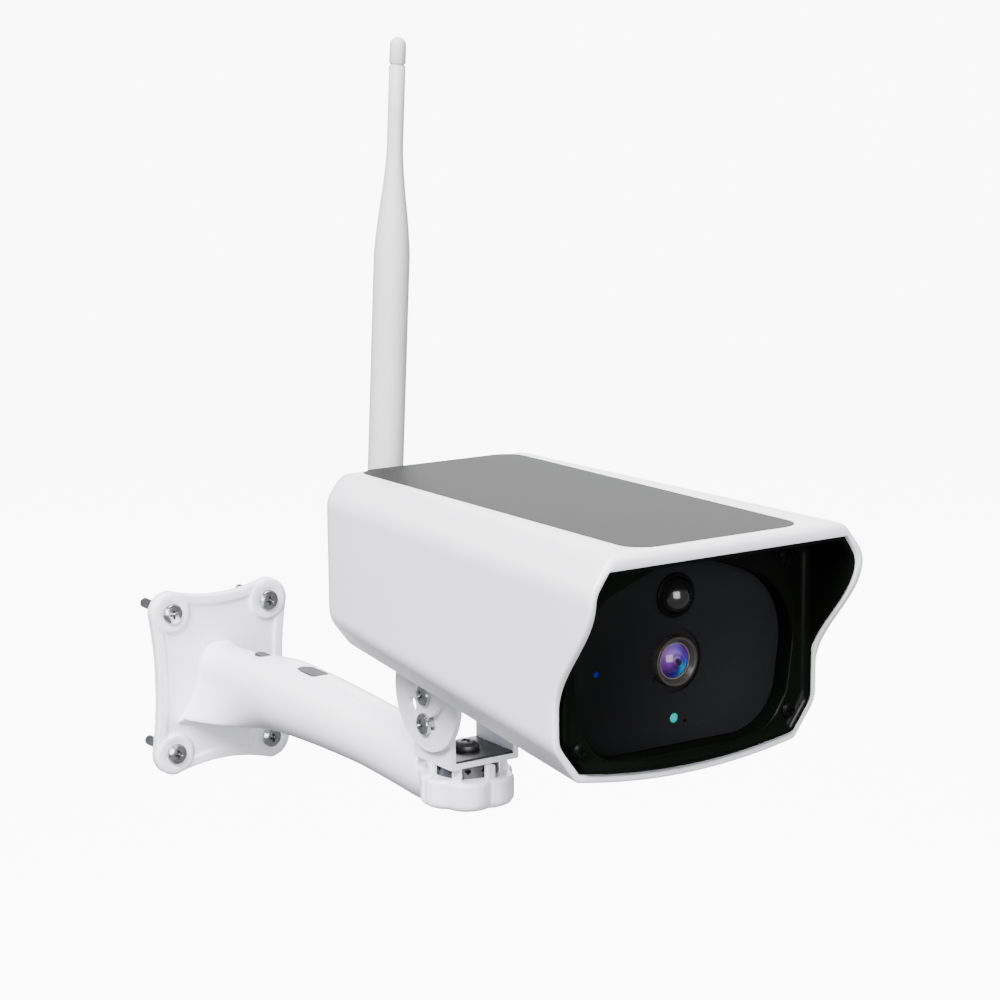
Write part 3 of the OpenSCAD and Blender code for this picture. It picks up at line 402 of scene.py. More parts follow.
# near-black material used as painted shade in the screws' cross recesses and round their heads
recessPaintedShade = finish("recessPaintedShade", (0.03, 0.03, 0.032), 0.5, spread=0.3, grain=900, metallic=0.5)
darkSteel = finish("darkSteel", (0.075, 0.075, 0.08), 0.38, spread=0.35, grain=700, bump=0.12,
                   metallic=0.75, mottle=180)
darkRubber = finish("darkRubber", (0.035, 0.035, 0.04), 0.62, spread=0.15, grain=1600, bump=0.12)
barrelBlack = finish("barrelBlack", (0.03, 0.027, 0.024), 0.36, spread=0.15, grain=1500, bump=0.02,
                     specular=0.35)
ringGrey = finish("ringGrey", (0.13, 0.115, 0.1), 0.42, spread=0.12, grain=1500, bump=0.04, metallic=0.3)
domeBlack = finish("domeBlack", (0.006, 0.006, 0.006), 0.16, spread=0.3, grain=300, bump=0.002,
                   specular=0.9)
antennaWhite = finish("antennaWhite", (0.5, 0.5, 0.505), 0.46, spread=0.015, grain=1500, bump=0.03)
goldPlate = finish("goldPlate", (0.72, 0.5, 0.18), 0.25, spread=0.1, grain=900, metallic=1.0)
cellWrap = finish("cellWrap", (0.02, 0.09, 0.42), 0.3, spread=0.1, grain=700, coat=0.4)
flapGrey = finish("flapGrey", (0.5, 0.5, 0.51), 0.58, spread=0.04, grain=1700, bump=0.1)
buttonGrey = finish("buttonGrey", (0.08, 0.08, 0.085), 0.5, spread=0.1, grain=1500, bump=0.06)
clearLamp = finish("clearLamp", (0.55, 0.55, 0.58), 0.12, spread=0.05, grain=700, coat=0.6)
tealLamp = lampLens("tealLamp", (0.0, 0.24, 0.235), 0.5)
blueLamp = lampLens("blueLamp", (0.0005, 0.002, 0.13), 0.25)
print("materials:", len(bpy.data.materials))


def place(obj, body, material, stands=(), slotName=None):
    if len(obj.data.materials) > 1:
        obj.data.materials[0] = material
    else:
        obj.data.materials.clear()
        obj.data.materials.append(material)
    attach(obj, body)
    if stands:
        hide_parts(*stands)
    return obj


# housing

shell = {
    "length": (shellHigh.y - shellLow.y) / mm,
    "width": (shellHigh.x - shellLow.x) / mm,
    "height": 76, "taperWide": 0.84, "taperTall": 60 / 76,
    "topShare": 0.86, "footShare": 0.83, "sideShare": 0.84, "shoulder": 10, "belly": 4,
    "hood": 19.5, "hoodTop": -12, "hoodLow": -48,
    "wall": 2.2, "topWall": 4.2, "rearRadius": 9, "edgeRadius": 3.2, "lip": 1.1, "topLip": 2.1,
    "innerDepth": 60, "seamEdge": 0.28, "sideSteps": 34, "cornerSteps": 6, "bellySteps": 18,
}


def offsetCorner(a, b, c, inset):
    # where the two lines a-b and b-c meet once both are moved to the left by inset
    d1, d2 = (b - a).normalized(), (c - b).normalized()
    n1, n2 = Vector((-d1.y, d1.x)), Vector((-d2.y, d2.x))
    cross = d1.x * d2.y - d1.y * d2.x
    if abs(cross) < 1e-6:
        return b + n1 * inset
    p, q = b + n1 * inset, b + n2 * inset
    t = ((q - p).x * d2.y - (q - p).y * d2.x) / cross
    return p + d1 * t


def halfSection(y, inset):
    # corners of the right half of the cross-section: belly edge, side, shoulder, top
    s = shell
    u = y / s["length"]
    wide = (1 - (1 - s["taperWide"]) * u) * s["width"] / 2
    tall = 1 - (1 - s["taperTall"]) * u
    high = tall * s["height"]
    belly = s["belly"] / s["height"] * high
    low = high - belly
    foot = s["footShare"] * wide
    corners = [Vector((foot * 2 / 3, -low - belly * (1 - 4 / 9))), Vector((foot, -low)),
               Vector((wide, -s["sideShare"] * low)), Vector((wide, -s["shoulder"] * tall)),
               Vector((s["topShare"] * wide, 0)), Vector((0, 0))]
    moved = [offsetCorner(*corners[i - 1:i + 2], inset) for i in range(1, 5)]
    sag = belly * moved[0].x / foot
    return moved, sag


def bendCorner(before, corner, after, radius, steps):
    # round corner drawn as a curve between the two sides
    toBefore, toAfter = before - corner, after - corner
    reach = min(radius, 0.45 * toBefore.length, 0.45 * toAfter.length)
    a, c = corner + toBefore.normalized() * reach, corner + toAfter.normalized() * reach
    return [(1 - t) ** 2 * a + 2 * t * (1 - t) * corner + t * t * c
            for t in (i / steps for i in range(steps + 1))]


def halfRing(y, inset):
    s = shell
    (foot, side, shoulder, top), sag = halfSection(y, inset)
    radius = max(0.8, s["edgeRadius"] - inset * 0.25)
    belly = [Vector((foot.x * i / s["bellySteps"], foot.y - sag * (1 - (i / s["bellySteps"]) ** 2)))
             for i in range(s["bellySteps"])]
    footBend = bendCorner(belly[-1], foot, side, radius * 0.8, s["cornerSteps"])
    sideBend = bendCorner(foot, side, shoulder, radius, s["cornerSteps"])
    shoulderBend = bendCorner(side, shoulder, top, radius, s["cornerSteps"])
    topBend = bendCorner(shoulder, top, Vector((0, top.y)), radius, s["cornerSteps"])
    belly = [p for p in belly if p.x < footBend[0].x - 0.2] + [footBend[0]] * sum(
        1 for p in belly if p.x >= footBend[0].x - 0.2)
    wall = [sideBend[-1].lerp(shoulderBend[0], i / s["sideSteps"]) for i in range(1, s["sideSteps"])]
    return belly + footBend + sideBend + wall + shoulderBend + topBend + [
        Vector((topBend[-1].x * 0.6, top.y)), Vector((topBend[-1].x * 0.25, top.y))]


def wholeRing(y, inset):   # right half, then the left half mirrored
    half = halfRing(y, inset)
    return half + [Vector((-p.x, p.y)) for p in reversed(half[1:])]


def mouthBack(z):   # how far the mouth's edge stands back at height z
    s = shell
    return s["hood"] * (1 - smoothStep((z - s["hoodLow"]) / (s["hoodTop"] - s["hoodLow"])))


def mouthRing(inset, back, roof=0.0, share=0.0, deep=0.0):
    # ring that follows the mouth's edge, moved back; share blends towards a flat ring at deep
    found = []
    count = len(wholeRing(0, inset))
    levels = [0.0] * count
    for _ in range(5):
        found = []
        cache = {}
        for i in range(count):
            y = levels[i]
            key = round(y, 3)
            if key not in cache:
                cache[key] = wholeRing(key, inset)
            p = cache[key][i]
            z = min(p.y, -roof)
            edge = mouthBack(z) + (back(z) if callable(back) else back)
            y = mix(edge, deep, share)
            found.append((p.x, y, z))
            levels[i] = y
    return found


def topness(z):   # 1 along the top edge of the mouth, 0 down its sides
    return smoothStep((z + 9) / 8)


def buildHousing():
    s = shell
    rows = []
    length, r = s["length"], s["rearRadius"]
    for k in range(9, -1, -1):   # round rear edge, from the flat end outwards
        a = radians(10 * k)
        y = length - r + r * sin(a)
        rows.append([(p.x, y, p.y) for p in wholeRing(y, r * (1 - cos(a)))])
    for share in (0.86, 0.7, 0.54, 0.38, 0.22, 0.1, 0.04):
        rows.append(mouthRing(0, lambda z: mix(s["lip"], s["topLip"], topness(z)), share=share,
                              deep=length - r))
    for k in range(6):   # outer round of the lip
        a = radians(18 * k)

        def back(z, a=a):
            return mix(s["lip"], s["topLip"], topness(z)) * (1 - sin(a))
        rows.append(lipRing(1 - cos(a), back))
    for inset, behind in ((s["wall"] - 0.35, 0.0), (s["wall"] - 0.1, 0.12), (s["wall"], 0.4)):
        rows.append(mouthRing(inset, behind, roof=s["topWall"] - (s["wall"] - inset)))
    rows.append(mouthRing(s["wall"], 0, roof=s["topWall"], share=0.5, deep=s["innerDepth"]))
    rows.append(mouthRing(s["wall"], 0, roof=s["topWall"], share=1.0, deep=s["innerDepth"]))
    return rings("housing", rows, at=headOrigin)


def lipRing(share, back):
    # one ring of the lip's round, inset by the lip's radius at that height
    small = mouthRing(shell["lip"] * share, back)
    large = mouthRing(shell["topLip"] * share, back)
    found = []
    for a, b in zip(small, large):
        t = topness(a[2])
        found.append(tuple(mix(p, q, t) for p, q in zip(a, b)))
    return found


housing = buildHousing()
glassLow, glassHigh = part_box("solar_glass")
panel = {"gap": 0.25, "radius": 8.15, "floor": (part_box("solar_gasket")[0].z - headOrigin.z) / mm}
panelAt = Vector(((glassLow.x + glassHigh.x) / 2, (glassLow.y + glassHigh.y) / 2, headOrigin.z))
panelSize = ((glassHigh.x - glassLow.x) / mm, (glassHigh.y - glassLow.y) / mm)
pocket = prism("pocket", roundedOutline(panelSize[0] + 2 * panel["gap"], panelSize[1] + 2 * panel["gap"],
                                        panel["radius"]), panel["floor"], 6, at=panelAt)
combine(housing, pocket)

gasketLow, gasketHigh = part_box("rear_gasket")
coverAt = Vector((0, gasketLow.y, (gasketLow.z + gasketHigh.z) / 2))
coverSize = ((gasketHigh.x - gasketLow.x) / mm + 0.7, (gasketHigh.z - gasketLow.z) / mm + 0.7)
coverPocket = prism("coverPocket", roundedOutline(*coverSize, 4), 0, 12, at=coverAt, axis="Y")
combine(housing, coverPocket)

bracketLow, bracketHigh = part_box("tilt_bracket")
pad = {"margin": 1, "depth": 29, "high": 3.6, "edge": 1.0}
padAt = Vector((0, (bracketLow.y + bracketHigh.y) / 2, bracketHigh.z))
padWidth = (bracketHigh.x - bracketLow.x) / mm + 2 * pad["margin"]
padShape = prism("padShape", roundedOutline(padWidth, pad["depth"], 2), 0.0, pad["high"], at=padAt)
join(housing, [padShape])
bevelEdges(housing, shell["seamEdge"], 3, 38)
shade(housing, 36)
place(housing, "camera", whiteShell, ["housing"], "white_shell")
print("housing:", len(housing.data.polygons), "faces")


# black lining of the mouth, with the face that the plate sits in

lining = {"inset": 2.35, "thick": 1.2, "start": 1.2, "roof": 4.35, "face": 21, "bend": 2.6,
          "dishTop": -9, "dishLow": -67, "dishHalf": 40, "lensDrop": 41.2, "edge": 0.7, "floor": 27}


def hullOf(points):   # outline round a set of points
    points = sorted(set((round(x, 5), round(y, 5)) for x, y in points))

    def half(seq):
        out = []
        for p in seq:
            while len(out) > 1 and ((out[-1][0] - out[-2][0]) * (p[1] - out[-2][1])
                                    - (out[-1][1] - out[-2][1]) * (p[0] - out[-2][0])) <= 0:
                out.pop()
            out.append(p)
        return out[:-1]
    return half(points) + half(reversed(points))


def dishOutline(grow):
    d = lining
    circles = arc((0, d["dishTop"] - 28), 28 + grow, 0, 360, 180)
    for side in (-1, 1):
        circles += arc((side * (d["dishHalf"] - 24), d["dishTop"] - 29.5), 24 + grow, 0, 360, 180)
        circles += arc((side * (d["dishHalf"] - 18.5), d["dishLow"] + 17), 17 + grow, 0, 360, 180)
    return hullOf(circles)


def alongRay(outline, centre, toward):   # where the ray from centre meets the outline
    dx, dz = toward[0] - centre[0], toward[1] - centre[1]
    for i in range(len(outline)):
        ax, az = outline[i - 1][0] - centre[0], outline[i - 1][1] - centre[1]
        bx, bz = outline[i][0] - centre[0], outline[i][1] - centre[1]
        ex, ez = bx - ax, bz - az
        cross = dx * ez - dz * ex
        if abs(cross) < 1e-9:
            continue
        t = (ax * ez - az * ex) / cross
        u = (ax * dz - az * dx) / cross
        if t > 0 and -1e-6 <= u <= 1 + 1e-6:
            return centre[0] + dx * t, centre[1] + dz * t
    return toward


def buildBezel():
    d = lining
    inner = d["inset"] + d["thick"]
    roof = d["roof"]
    rows = [mouthRing(d["inset"], 0, roof=roof, share=1.0, deep=d["face"] + 2),
            mouthRing(d["inset"], d["start"] + 0.4, roof=roof),
            mouthRing(d["inset"] + 0.1, d["start"] + 0.1, roof=roof + 0.1),
            mouthRing(d["inset"] + 0.5, d["start"], roof=roof + 0.5),
            mouthRing(inner - 0.3, d["start"] + 0.1, roof=roof + d["thick"] - 0.3),
            mouthRing(inner, d["start"] + 0.5, roof=roof + d["thick"])]
    for share in (0.15, 0.35, 0.6, 0.85):
        rows.append(mouthRing(inner, d["start"] + 0.5, roof=roof + d["thick"], share=share,
                              deep=d["face"] - d["bend"]))
    for k in range(7):   # round inner corner down to the face
        a = radians(15 * k)
        grown = d["bend"] * (1 - cos(a))
        rows.append(mouthRing(inner + grown, 0, roof=roof + d["thick"] + grown, share=1.0,
                              deep=d["face"] - d["bend"] * (1 - sin(a))))
    centre = (0, -d["lensDrop"] + 3)
    ends = [(p[0], p[2]) for p in rows[-1]]

    def dishRing(grow, y):
        outline = dishOutline(grow)
        found = [alongRay(outline, centre, e) for e in ends]
        return [(x, y, z) for x, z in found]
    for k in range(5):   # edge round of the opening
        a = radians(22.5 * k)
        rows.append(dishRing(0.15 + d["edge"] * (1 - sin(a)), d["face"] + d["edge"] * (1 - cos(a))))
    rows.append(dishRing(0.15, d["floor"] - 0.3))
    rows.append(dishRing(0.15, d["floor"] + 2))
    rows.append(dishRing(1.2, d["floor"] + 2))
    rows.append(dishRing(1.2, d["face"] + 2))
    return rings("frontBezel", rows + [rows[0]], capStart=False, capEnd=False, at=headOrigin)


bezel = buildBezel()
shade(bezel, 40)
place(bezel, "camera", blackGloss, ["front_bezel"], "black_gloss")
print("bezel:", len(bezel.data.polygons), "faces")


# wall plate

plateLow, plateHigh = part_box("wall_plate")
wallLow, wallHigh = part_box("wall_screws")
plate = {"thick": 4, "sagSide": 2.4, "sagEnd": 3.4, "lobe": 9, "rim": 4.2, "rimHigh": 0.9,
         "boss": 7.6, "bossHigh": 0.55, "seat": 5.0, "headRadius": 4, "hole": 2.05,
         "voxel": 0.42, "smooth": 9}
holeX = (wallHigh.x - wallLow.x) / 2 / mm - plate["headRadius"]
holeZ = (wallHigh.z - wallLow.z) / 2 / mm - plate["headRadius"]
halfX, halfZ = (plateHigh.x - plateLow.x) / 2 / mm, (plateHigh.z - plateLow.z) / 2 / mm


def plateOutline(inset):
    # rounded rectangle whose four sides curve inwards
    outline = []
    w, h, r = halfX - inset, halfZ - inset, max(2.0, plate["lobe"] - inset)
    for sx, sz, start in ((1, 1, 0), (-1, 1, 90), (-1, -1, 180), (1, -1, 270)):
        outline += arc((sx * (w - r), sz * (h - r)), r, start, start + 90, 14)
        flat = {0: (sx * (w - r), sz * h), 90: (sx * w, sz * (h - r)), 180: (sx * (w - r), sz * h),
                270: (sx * w, sz * (h - r))}[start]
        end = {0: (-flat[0], flat[1]), 90: (flat[0], -flat[1]), 180: (-flat[0], flat[1]),
               270: (flat[0], -flat[1])}[start]
        outline += [(mix(flat[0], end[0], i / 16), mix(flat[1], end[1], i / 16)) for i in range(1, 16)]
    bent = []
    for x, z in outline:
        bowX = plate["sagSide"] * max(0, 1 - (z / (halfZ - plate["lobe"])) ** 2)
        bowZ = plate["sagEnd"] * max(0, 1 - (x / (halfX - plate["lobe"])) ** 2)
        if abs(x) > w - 0.6:
            x -= bowX * (1 if x > 0 else -1)
        if abs(z) > h - 0.6:
            z -= bowZ * (1 if z > 0 else -1)
        bent.append((x, z))
    return bent


def buildWallPlate():
    t = plate["thick"]
    body = prism("wallPlate", plateOutline(0.3), -t, 0, axis="Y")
    dished = prism("dished", plateOutline(plate["rim"]), -t - 3, -t + plate["rimHigh"], axis="Y")
    combine(body, dished)
    for sx in (-1, 1):
        for sz in (-1, 1):
            at = Vector((sx * holeX, 0, sz * holeZ)) * mm
            for name, radius, low, high, how in (
                    ("boss", plate["boss"], -1, -t - plate["bossHigh"], "UNION"),
                    ("seat", plate["seat"], -t, -t - 3, "DIFFERENCE"),
                    ("hole", plate["hole"], 1, -t - 4, "DIFFERENCE")):
                profile = [(0, low), (radius, low), (radius, high), (0, high)]
                combine(body, turned(name, profile, at=at), how)
    return shade(recast(body, plate["voxel"], plate["smooth"]), 60)


wallPlate = buildWallPlate()
place(wallPlate, "wall_bracket", whiteCasting, ["wall_plate"], "white_metal")
print("wall plate:", len(wallPlate.data.polygons), "faces")


# screws

# shares of the head's width and height
crossHead = {"slot": 0.56, "blade": 0.075, "deep": 0.62, "dome": 0.4, "edge": 0.07}


def crossScrew(name, at, facing, head, high, shank, length):
    # domed head with a cross recess, the recess painted dark as shade and a painted dark outline round the
    # head; the head's underside is at the given place
    crown = high * crossHead["dome"]
    profile = [(0, -high)]
    for k in range(1, 7):
        a = radians(15 * k)
        profile.append((head / 2 * sin(a) * 0.94, -high + crown * (1 - cos(a))))
    profile += [(head / 2, -high + crown + 0.12), (head / 2, -0.15), (head / 2 - 0.15, 0), (shank / 2, 0),
                (shank / 2, length - 0.4), (shank / 2 - 0.4, length), (0, length)]
    screw = turned(name, profile, count=40)
    # the head's side wall takes the painted-shade material, a painted shadow outlining the head
    rim = [face.index for face in screw.data.polygons
           if abs(face.normal.y) < 0.3 and hypot(face.center.x, face.center.z) > head * 0.45 * mm]
    half, thick, deep = head * crossHead["slot"] / 2, head * crossHead["blade"], high * crossHead["deep"]
    for turn in (0, 90):
        blade = makeObject("blade", [
            (x * (half if y < -high else half * 0.45), y, z * (thick if y < -high else thick * 0.7))
            for y in (-high - 0.6, -high + deep) for x, z in ((-1, -1), (1, -1), (1, 1), (-1, 1))],
            [(0, 1, 2, 3), (7, 6, 5, 4), (0, 4, 5, 1), (1, 5, 6, 2), (2, 6, 7, 3), (3, 7, 4, 0)])
        blade.data.transform(Matrix.Rotation(radians(turn), 4, "Y"))
        for part in (screw, blade):
            part.data.materials.clear()
            part.data.materials.append(brightSteel)
            part.data.materials.append(recessPaintedShade)
        # the cross recess walls take the painted-shade material, painted shade inside the recess
        for face in blade.data.polygons:
            face.material_index = 1
        if turn == 0:
            for index in rim:
                screw.data.polygons[index].material_index = 1
        combine(screw, blade)
    spin = {"front": Matrix.Identity(4), "right": Matrix.Rotation(radians(90), 4, "Z"),
            "left": Matrix.Rotation(radians(-90), 4, "Z"), "back": Matrix.Rotation(pi, 4, "Z"),
            "up": Matrix.Rotation(radians(-90), 4, "X"), "down": Matrix.Rotation(radians(90), 4, "X")}[facing]
    screw.data.transform(Matrix.Translation(at) @ spin)
    return screw


def screwSet(name, node, facing, spots, head, high, shank, length, body, material, slotName):
    made = [crossScrew(name, spot, side, head, high, shank, length)
            for spot, side in zip(spots, facing)]
    whole = join(made[0], made[1:])
    whole.name = name
    bevelEdges(whole, crossHead["edge"], 2, 40)
    shade(whole, 30)
    return place(whole, body, material, [node], slotName)


wallScrew = {"head": 8, "high": 2.4, "shank": 4}
wallLength = (wallHigh.y - wallLow.y) / mm - wallScrew["high"]
spots = [Vector((sx * holeX * mm, wallLow.y + wallScrew["high"] * mm, sz * holeZ * mm))
         for sx in (-1, 1) for sz in (-1, 1)]
screwSet("wallScrews", "wall_screws", ["front"] * 4, spots, wallScrew["head"], wallScrew["high"],
         wallScrew["shank"], wallLength, "wall_bracket", brightSteel, "steel_bright")

sideScrew = {"head": 7.4, "high": 2.2, "shank": 4}
for name, node in (("pivotScrews", "pivot_screws"), ("lockScrews", "lock_screws")):
    low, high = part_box(node)
    centre = (low + high) / 2
    seat = high.x - sideScrew["high"] * mm
    spots = [Vector((seat, centre.y, centre.z)), Vector((-seat, centre.y, centre.z))]
    screwSet(name, node, ["right", "left"], spots, sideScrew["head"], sideScrew["high"], sideScrew["shank"],
             7.6, "pan_head", brightSteel, "steel_bright")

low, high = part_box("pan_screw")
panAt = Vector(((low.x + high.x) / 2, (low.y + high.y) / 2, 0))
panScrew = {"head": 9, "high": 3, "shank": 5}
screwSet("panScrew", "pan_screw", ["up"], [Vector((panAt.x, panAt.y, high.z - panScrew["high"] * mm))],
         panScrew["head"], panScrew["high"], panScrew["shank"], (high.z - low.z) / mm - panScrew["high"],
         "pan_head", darkSteel, "steel_dark")
print("screws made")


# arm

arm = {"start": 3.05, "endRound": 20, "endShare": 0.4, "collar": 1.1, "radiusWall": 14,
       "radiusEnd": 12, "rise": 4.5, "foot": 62, "cup": 34, "cupHigh": 10.5, "crownHigh": 4.5,
       "lobe": 8.6, "flutes": 6, "teeth": 7, "toothPhase": -85, "toothSpan": 14,
       "toothThick": 2.4, "toothIn": 3.1, "toothEdge": 0.35,
       "pocket": 18.1, "cupRound": 3.2, "voxel": 0.5, "smooth": 7, "around": 72, "along": 72,
       "ports": ((-76.5, 6.5, 9), (-38.5, 4, 5)), "portGap": 0.15,   # place, width and length
       "ringBore": 10.2, "nutBore": 6.5, "screwBore": 2.6}
reach = -panAt.y / mm


def armMiddle(s):
    return arm["rise"] * max(0, sin(pi * min(1, s / (reach - 8)))) ** 0.8


def armRadius(s):
    return mix(arm["radiusWall"], arm["radiusEnd"], min(1, max(0, (s - 60) / 60)))


def bellHalf(v):   # half width of the foot at a height from -1 to 1
    if v > 0.3:
        return 9.5 * sqrt(max(0, 1 - ((v - 0.3) / 0.7) ** 2))
    return 9.5 + 10 * ((0.3 - v) / 1.3) ** 1.8


def armRing(s):
    k = 1 - smoothStep(s / arm["foot"])
    r = armRadius(s)
    near = min(1, max(0, (s - reach + 5 + arm["endRound"]) / arm["endRound"]))
    # the tube's end rounds off under the cup
    squat = 1 - (1 - arm["endShare"]) * (1 - sqrt(1 - near * near))
    row = []
    for i in range(arm["around"]):
        a = 2 * pi * i / arm["around"]
        v = sin(a)
        side = 1 if cos(a) > 0 else -1
        bell = (side * min(abs(bellHalf(v * 0.98)), abs(cos(a)) * 60), v * 14)
        tube = (r * cos(a), r * squat * sin(a))
        x, z = k * bell[0] + (1 - k) * tube[0], k * bell[1] + (1 - k) * tube[1]
        row.append((x, -s, armMiddle(s) * (1 - k) - k + z))
    return row


def buildArm():
    end = reach - 5
    rows = [armRing(mix(arm["start"], end, j / arm["along"])) for j in range(arm["along"] + 1)]
    body = rings("arm", rows)
    foot = armRing(arm["start"])
    grown = arm["collar"]
    collar = [[(x * grow, y, z * grow) for x, _, z in foot]
              for grow, y in ((grown, -arm["start"]), (grown, -4.6), (grown - 0.04, -5.4))]
    combine(body, rings("collar", collar), "UNION")
    cupTop, cupLow = arm["cupHigh"] / 2, -arm["cupHigh"] / 2
    clear = arm["pocket"]   # room for the yoke to sweep round
    combine(body, turned("pocket", [(0, cupTop - 0.5), (clear, cupTop - 0.5), (clear, 40), (0, 40)],
                         at=panAt, axis="Z"))
    lobes = []
    for i in range(arm["flutes"]):
        a = 2 * pi * i / arm["flutes"]
        off = arm["cup"] / 2 - arm["lobe"]
        lobes += arc((off * cos(a), off * sin(a)), arm["lobe"], 0, 360, 64)
    outline = fluted(lobes)
    curve = arm["cupRound"]
    profile = [(curve * (1 - sin(radians(15 * k))), cupLow + curve * (1 - cos(radians(15 * k))))
               for k in range(7)]
    profile += [(0, 0), (0, cupTop - 1.2), (0.35, cupTop - 0.35), (1.2, cupTop)]
    rows = []
    for inset, level in profile:
        share = 1 - inset / (arm["cup"] / 2)
        rows.append([(x * share, y * share, level) for x, y in outline])
    combine(body, rings("cup", rows, at=panAt), "UNION")
    cutPorts(body)
    recast(body, arm["voxel"], arm["smooth"])
    cutPorts(body)   # again, for crisp edges
    wide, nutSeat, screwWay = arm["ringBore"], arm["nutBore"], arm["screwBore"]
    combine(body, turned("bore", [(0, cupTop - 2), (wide, cupTop - 2), (wide, 30), (0, 30)],
                         at=panAt, axis="Z"))
    combine(body, turned("bore", [(0, -20), (nutSeat, -20), (nutSeat, -0.8), (screwWay, -0.8),
                                  (screwWay, 20), (0, 20)], at=panAt, axis="Z"))
    return body


def fluted(points):   # outermost point in each direction
    best = {}
    for x, y in points:
        key = round(degrees(atan2(y, x)) / 2)
        if key not in best or hypot(x, y) > hypot(*best[key]):
            best[key] = (x, y)
    return [best[k] for k in sorted(best) if k != 90 or -90 not in best]


def cutPorts(body):   # round-ended openings on top, where the plugs sit
    for y, width, length in arm["ports"]:
        w = width / 2 + arm["portGap"]
        outline = arc((0, length / 2), w, 0, 180, 16) + arc((0, -length / 2), w, 180, 360, 16)
        combine(body, prism("port", outline, 0, 30, at=Vector((0, y, armMiddle(-y))) * mm))


def crownTooth(a):
    outer = arm["cup"] / 2 - arm["toothIn"]
    inner = outer - arm["toothThick"]
    half = radians(arm["toothSpan"] / 2)
    outline = [(outer * cos(a + half * t), outer * sin(a + half * t)) for t in (-1, -0.5, 0, 0.5, 1)]
    outline += [(inner * cos(a + half * t), inner * sin(a + half * t)) for t in (1, 0.5, 0, -0.5, -1)]
    top = arm["cupHigh"] / 2
    return prism("tooth", outline, top - 0.6, top + arm["crownHigh"], at=panAt)


armPiece = buildArm()
teeth = [crownTooth(radians(arm["toothPhase"] + 360 * i / arm["teeth"])) for i in range(arm["teeth"])]
for tooth in teeth:
    bevelEdges(tooth, arm["toothEdge"], 3, 40)
join(armPiece, teeth)
shade(armPiece, 50)
place(armPiece, "wall_bracket", whiteCasting, ["arm"], "white_metal")
print("arm:", len(armPiece.data.polygons), "faces")


# antenna

sleeve = {"thick": 12.4, "thin": 5.6, "length": 164, "thickEnd": 0.565, "thinStart": 0.754,
          "tip": 9.5, "forkHalf": 2.5, "forkTop": 5.9, "pinHole": 1.25, "lean": 3, "edge": 0.3,
          "ease": 0.045}
foldAt = middle("fold_pin")
leanTurn = Matrix.Rotation(radians(sleeve["lean"]), 4, "Y")


def buildSleeve():
    s = sleeve
    hub = s["thick"] / 2
    grooveAt = s["length"] - s["tip"]
    a, b = s["thickEnd"] * s["length"], s["thinStart"] * s["length"]
    profile = [(0, -hub)]
    for k in range(1, 9):   # round lower end of the knuckle
        profile.append((hub * sin(radians(11.25 * k)), -hub * cos(radians(11.25 * k))))
    profile += [(hub, h) for h in (4, 12, 30, 60, a - 2)]
    for k in range(1, 24):   # long taper, eased at both ends
        t = k / 24
        eased = t - s["ease"] * sin(2 * pi * t)
        profile.append((mix(hub, s["thin"] / 2, eased), mix(a - 2, b + 2, t)))
    profile += [(s["thin"] / 2, h) for h in (b + 4, b + 14, grooveAt - 0.3)]
    profile += [(s["thin"] / 2 - 0.15, grooveAt - 0.05), (s["thin"] / 2 - 0.5, grooveAt), (0, grooveAt)]
    body = turned("antennaSleeve", profile, axis="Z", count=72)
    knuckle = turned("knuckle", [(0, -20), (hub, -20), (hub, 20), (0, 20)], axis="X", count=96)
    block = prism("block", [(-20, 0), (20, 0), (20, 400), (-20, 400)], -20, 20, axis="X")
    combine(knuckle, block, "UNION")
    combine(body, knuckle, "INTERSECT")
    slotBox = prism("slot", roundedOutline(2 * s["forkHalf"], 60, 0.2), -30, s["forkTop"], axis="Z")
    combine(body, slotBox)
    hole = s["pinHole"]
    combine(body, turned("pinHole", [(0, -20), (hole, -20), (hole, 20), (0, 20)], axis="X", count=24))
    bevelEdges(body, s["edge"], 3, 40)
    body.data.transform(Matrix.Translation(foldAt) @ leanTurn)
    return shade(body, 32)


def buildTip():
    s = sleeve
    r, base = s["thin"] / 2, s["length"] - s["tip"]
    profile = [(0, base), (r - 0.5, base), (r - 0.5, base + 0.45), (r - 0.12, base + 0.55), (r, base + 0.75),
               (r, s["length"] - r)]
    profile += [(r * cos(radians(10 * k)), s["length"] - r + r * sin(radians(10 * k))) for k in range(1, 9)]
    profile.append((0, s["length"]))
    tip = turned("antennaTip", profile, axis="Z", count=56)
    tip.data.transform(Matrix.Translation(foldAt) @ leanTurn)
    return shade(tip, 40)


place(buildSleeve(), "antenna_whip", antennaWhite, ["antenna_sleeve"], "antenna_white")
place(buildTip(), "antenna_whip", antennaWhite, ["antenna_tip"], "antenna_white")
print("antenna made")


# lens, motion sensor and lamps

lensLow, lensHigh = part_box("lens_glass")
lensAt = Vector((0, 0, (lensLow.z + lensHigh.z) / 2))
lens = {"radius": (lensHigh.x - lensLow.x) / 2 / mm, "open": 5.2, "dome": 6.3, "edge": 1.2}


def buildLens():
    g = lens
    rise = g["dome"] - sqrt(g["dome"] ** 2 - g["open"] ** 2)
    back = lensHigh.y / mm
    front = back - g["edge"]
    profile = [(0, back), (g["radius"], back), (g["radius"], front + 0.15), (g["radius"] - 0.15, front)]
    for k in range(0, 13):   # domed front
        r = g["open"] * (1 - k / 12)
        profile.append((r if k < 12 else 0, front - (sqrt(g["dome"] ** 2 - r * r) - (g["dome"] - rise))))
    return shade(turned("lensGlass", profile, at=lensAt, count=96), 40)


# the lens's coloured reflections and dark pupil are painted, as emission
place(buildLens(), "camera", lensPaintedReflections("lensGlassPaintedReflections", lensAt, lens["open"] + 0.5),
      ["lens_glass"], "lens_coated")

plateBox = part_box("front_plate")


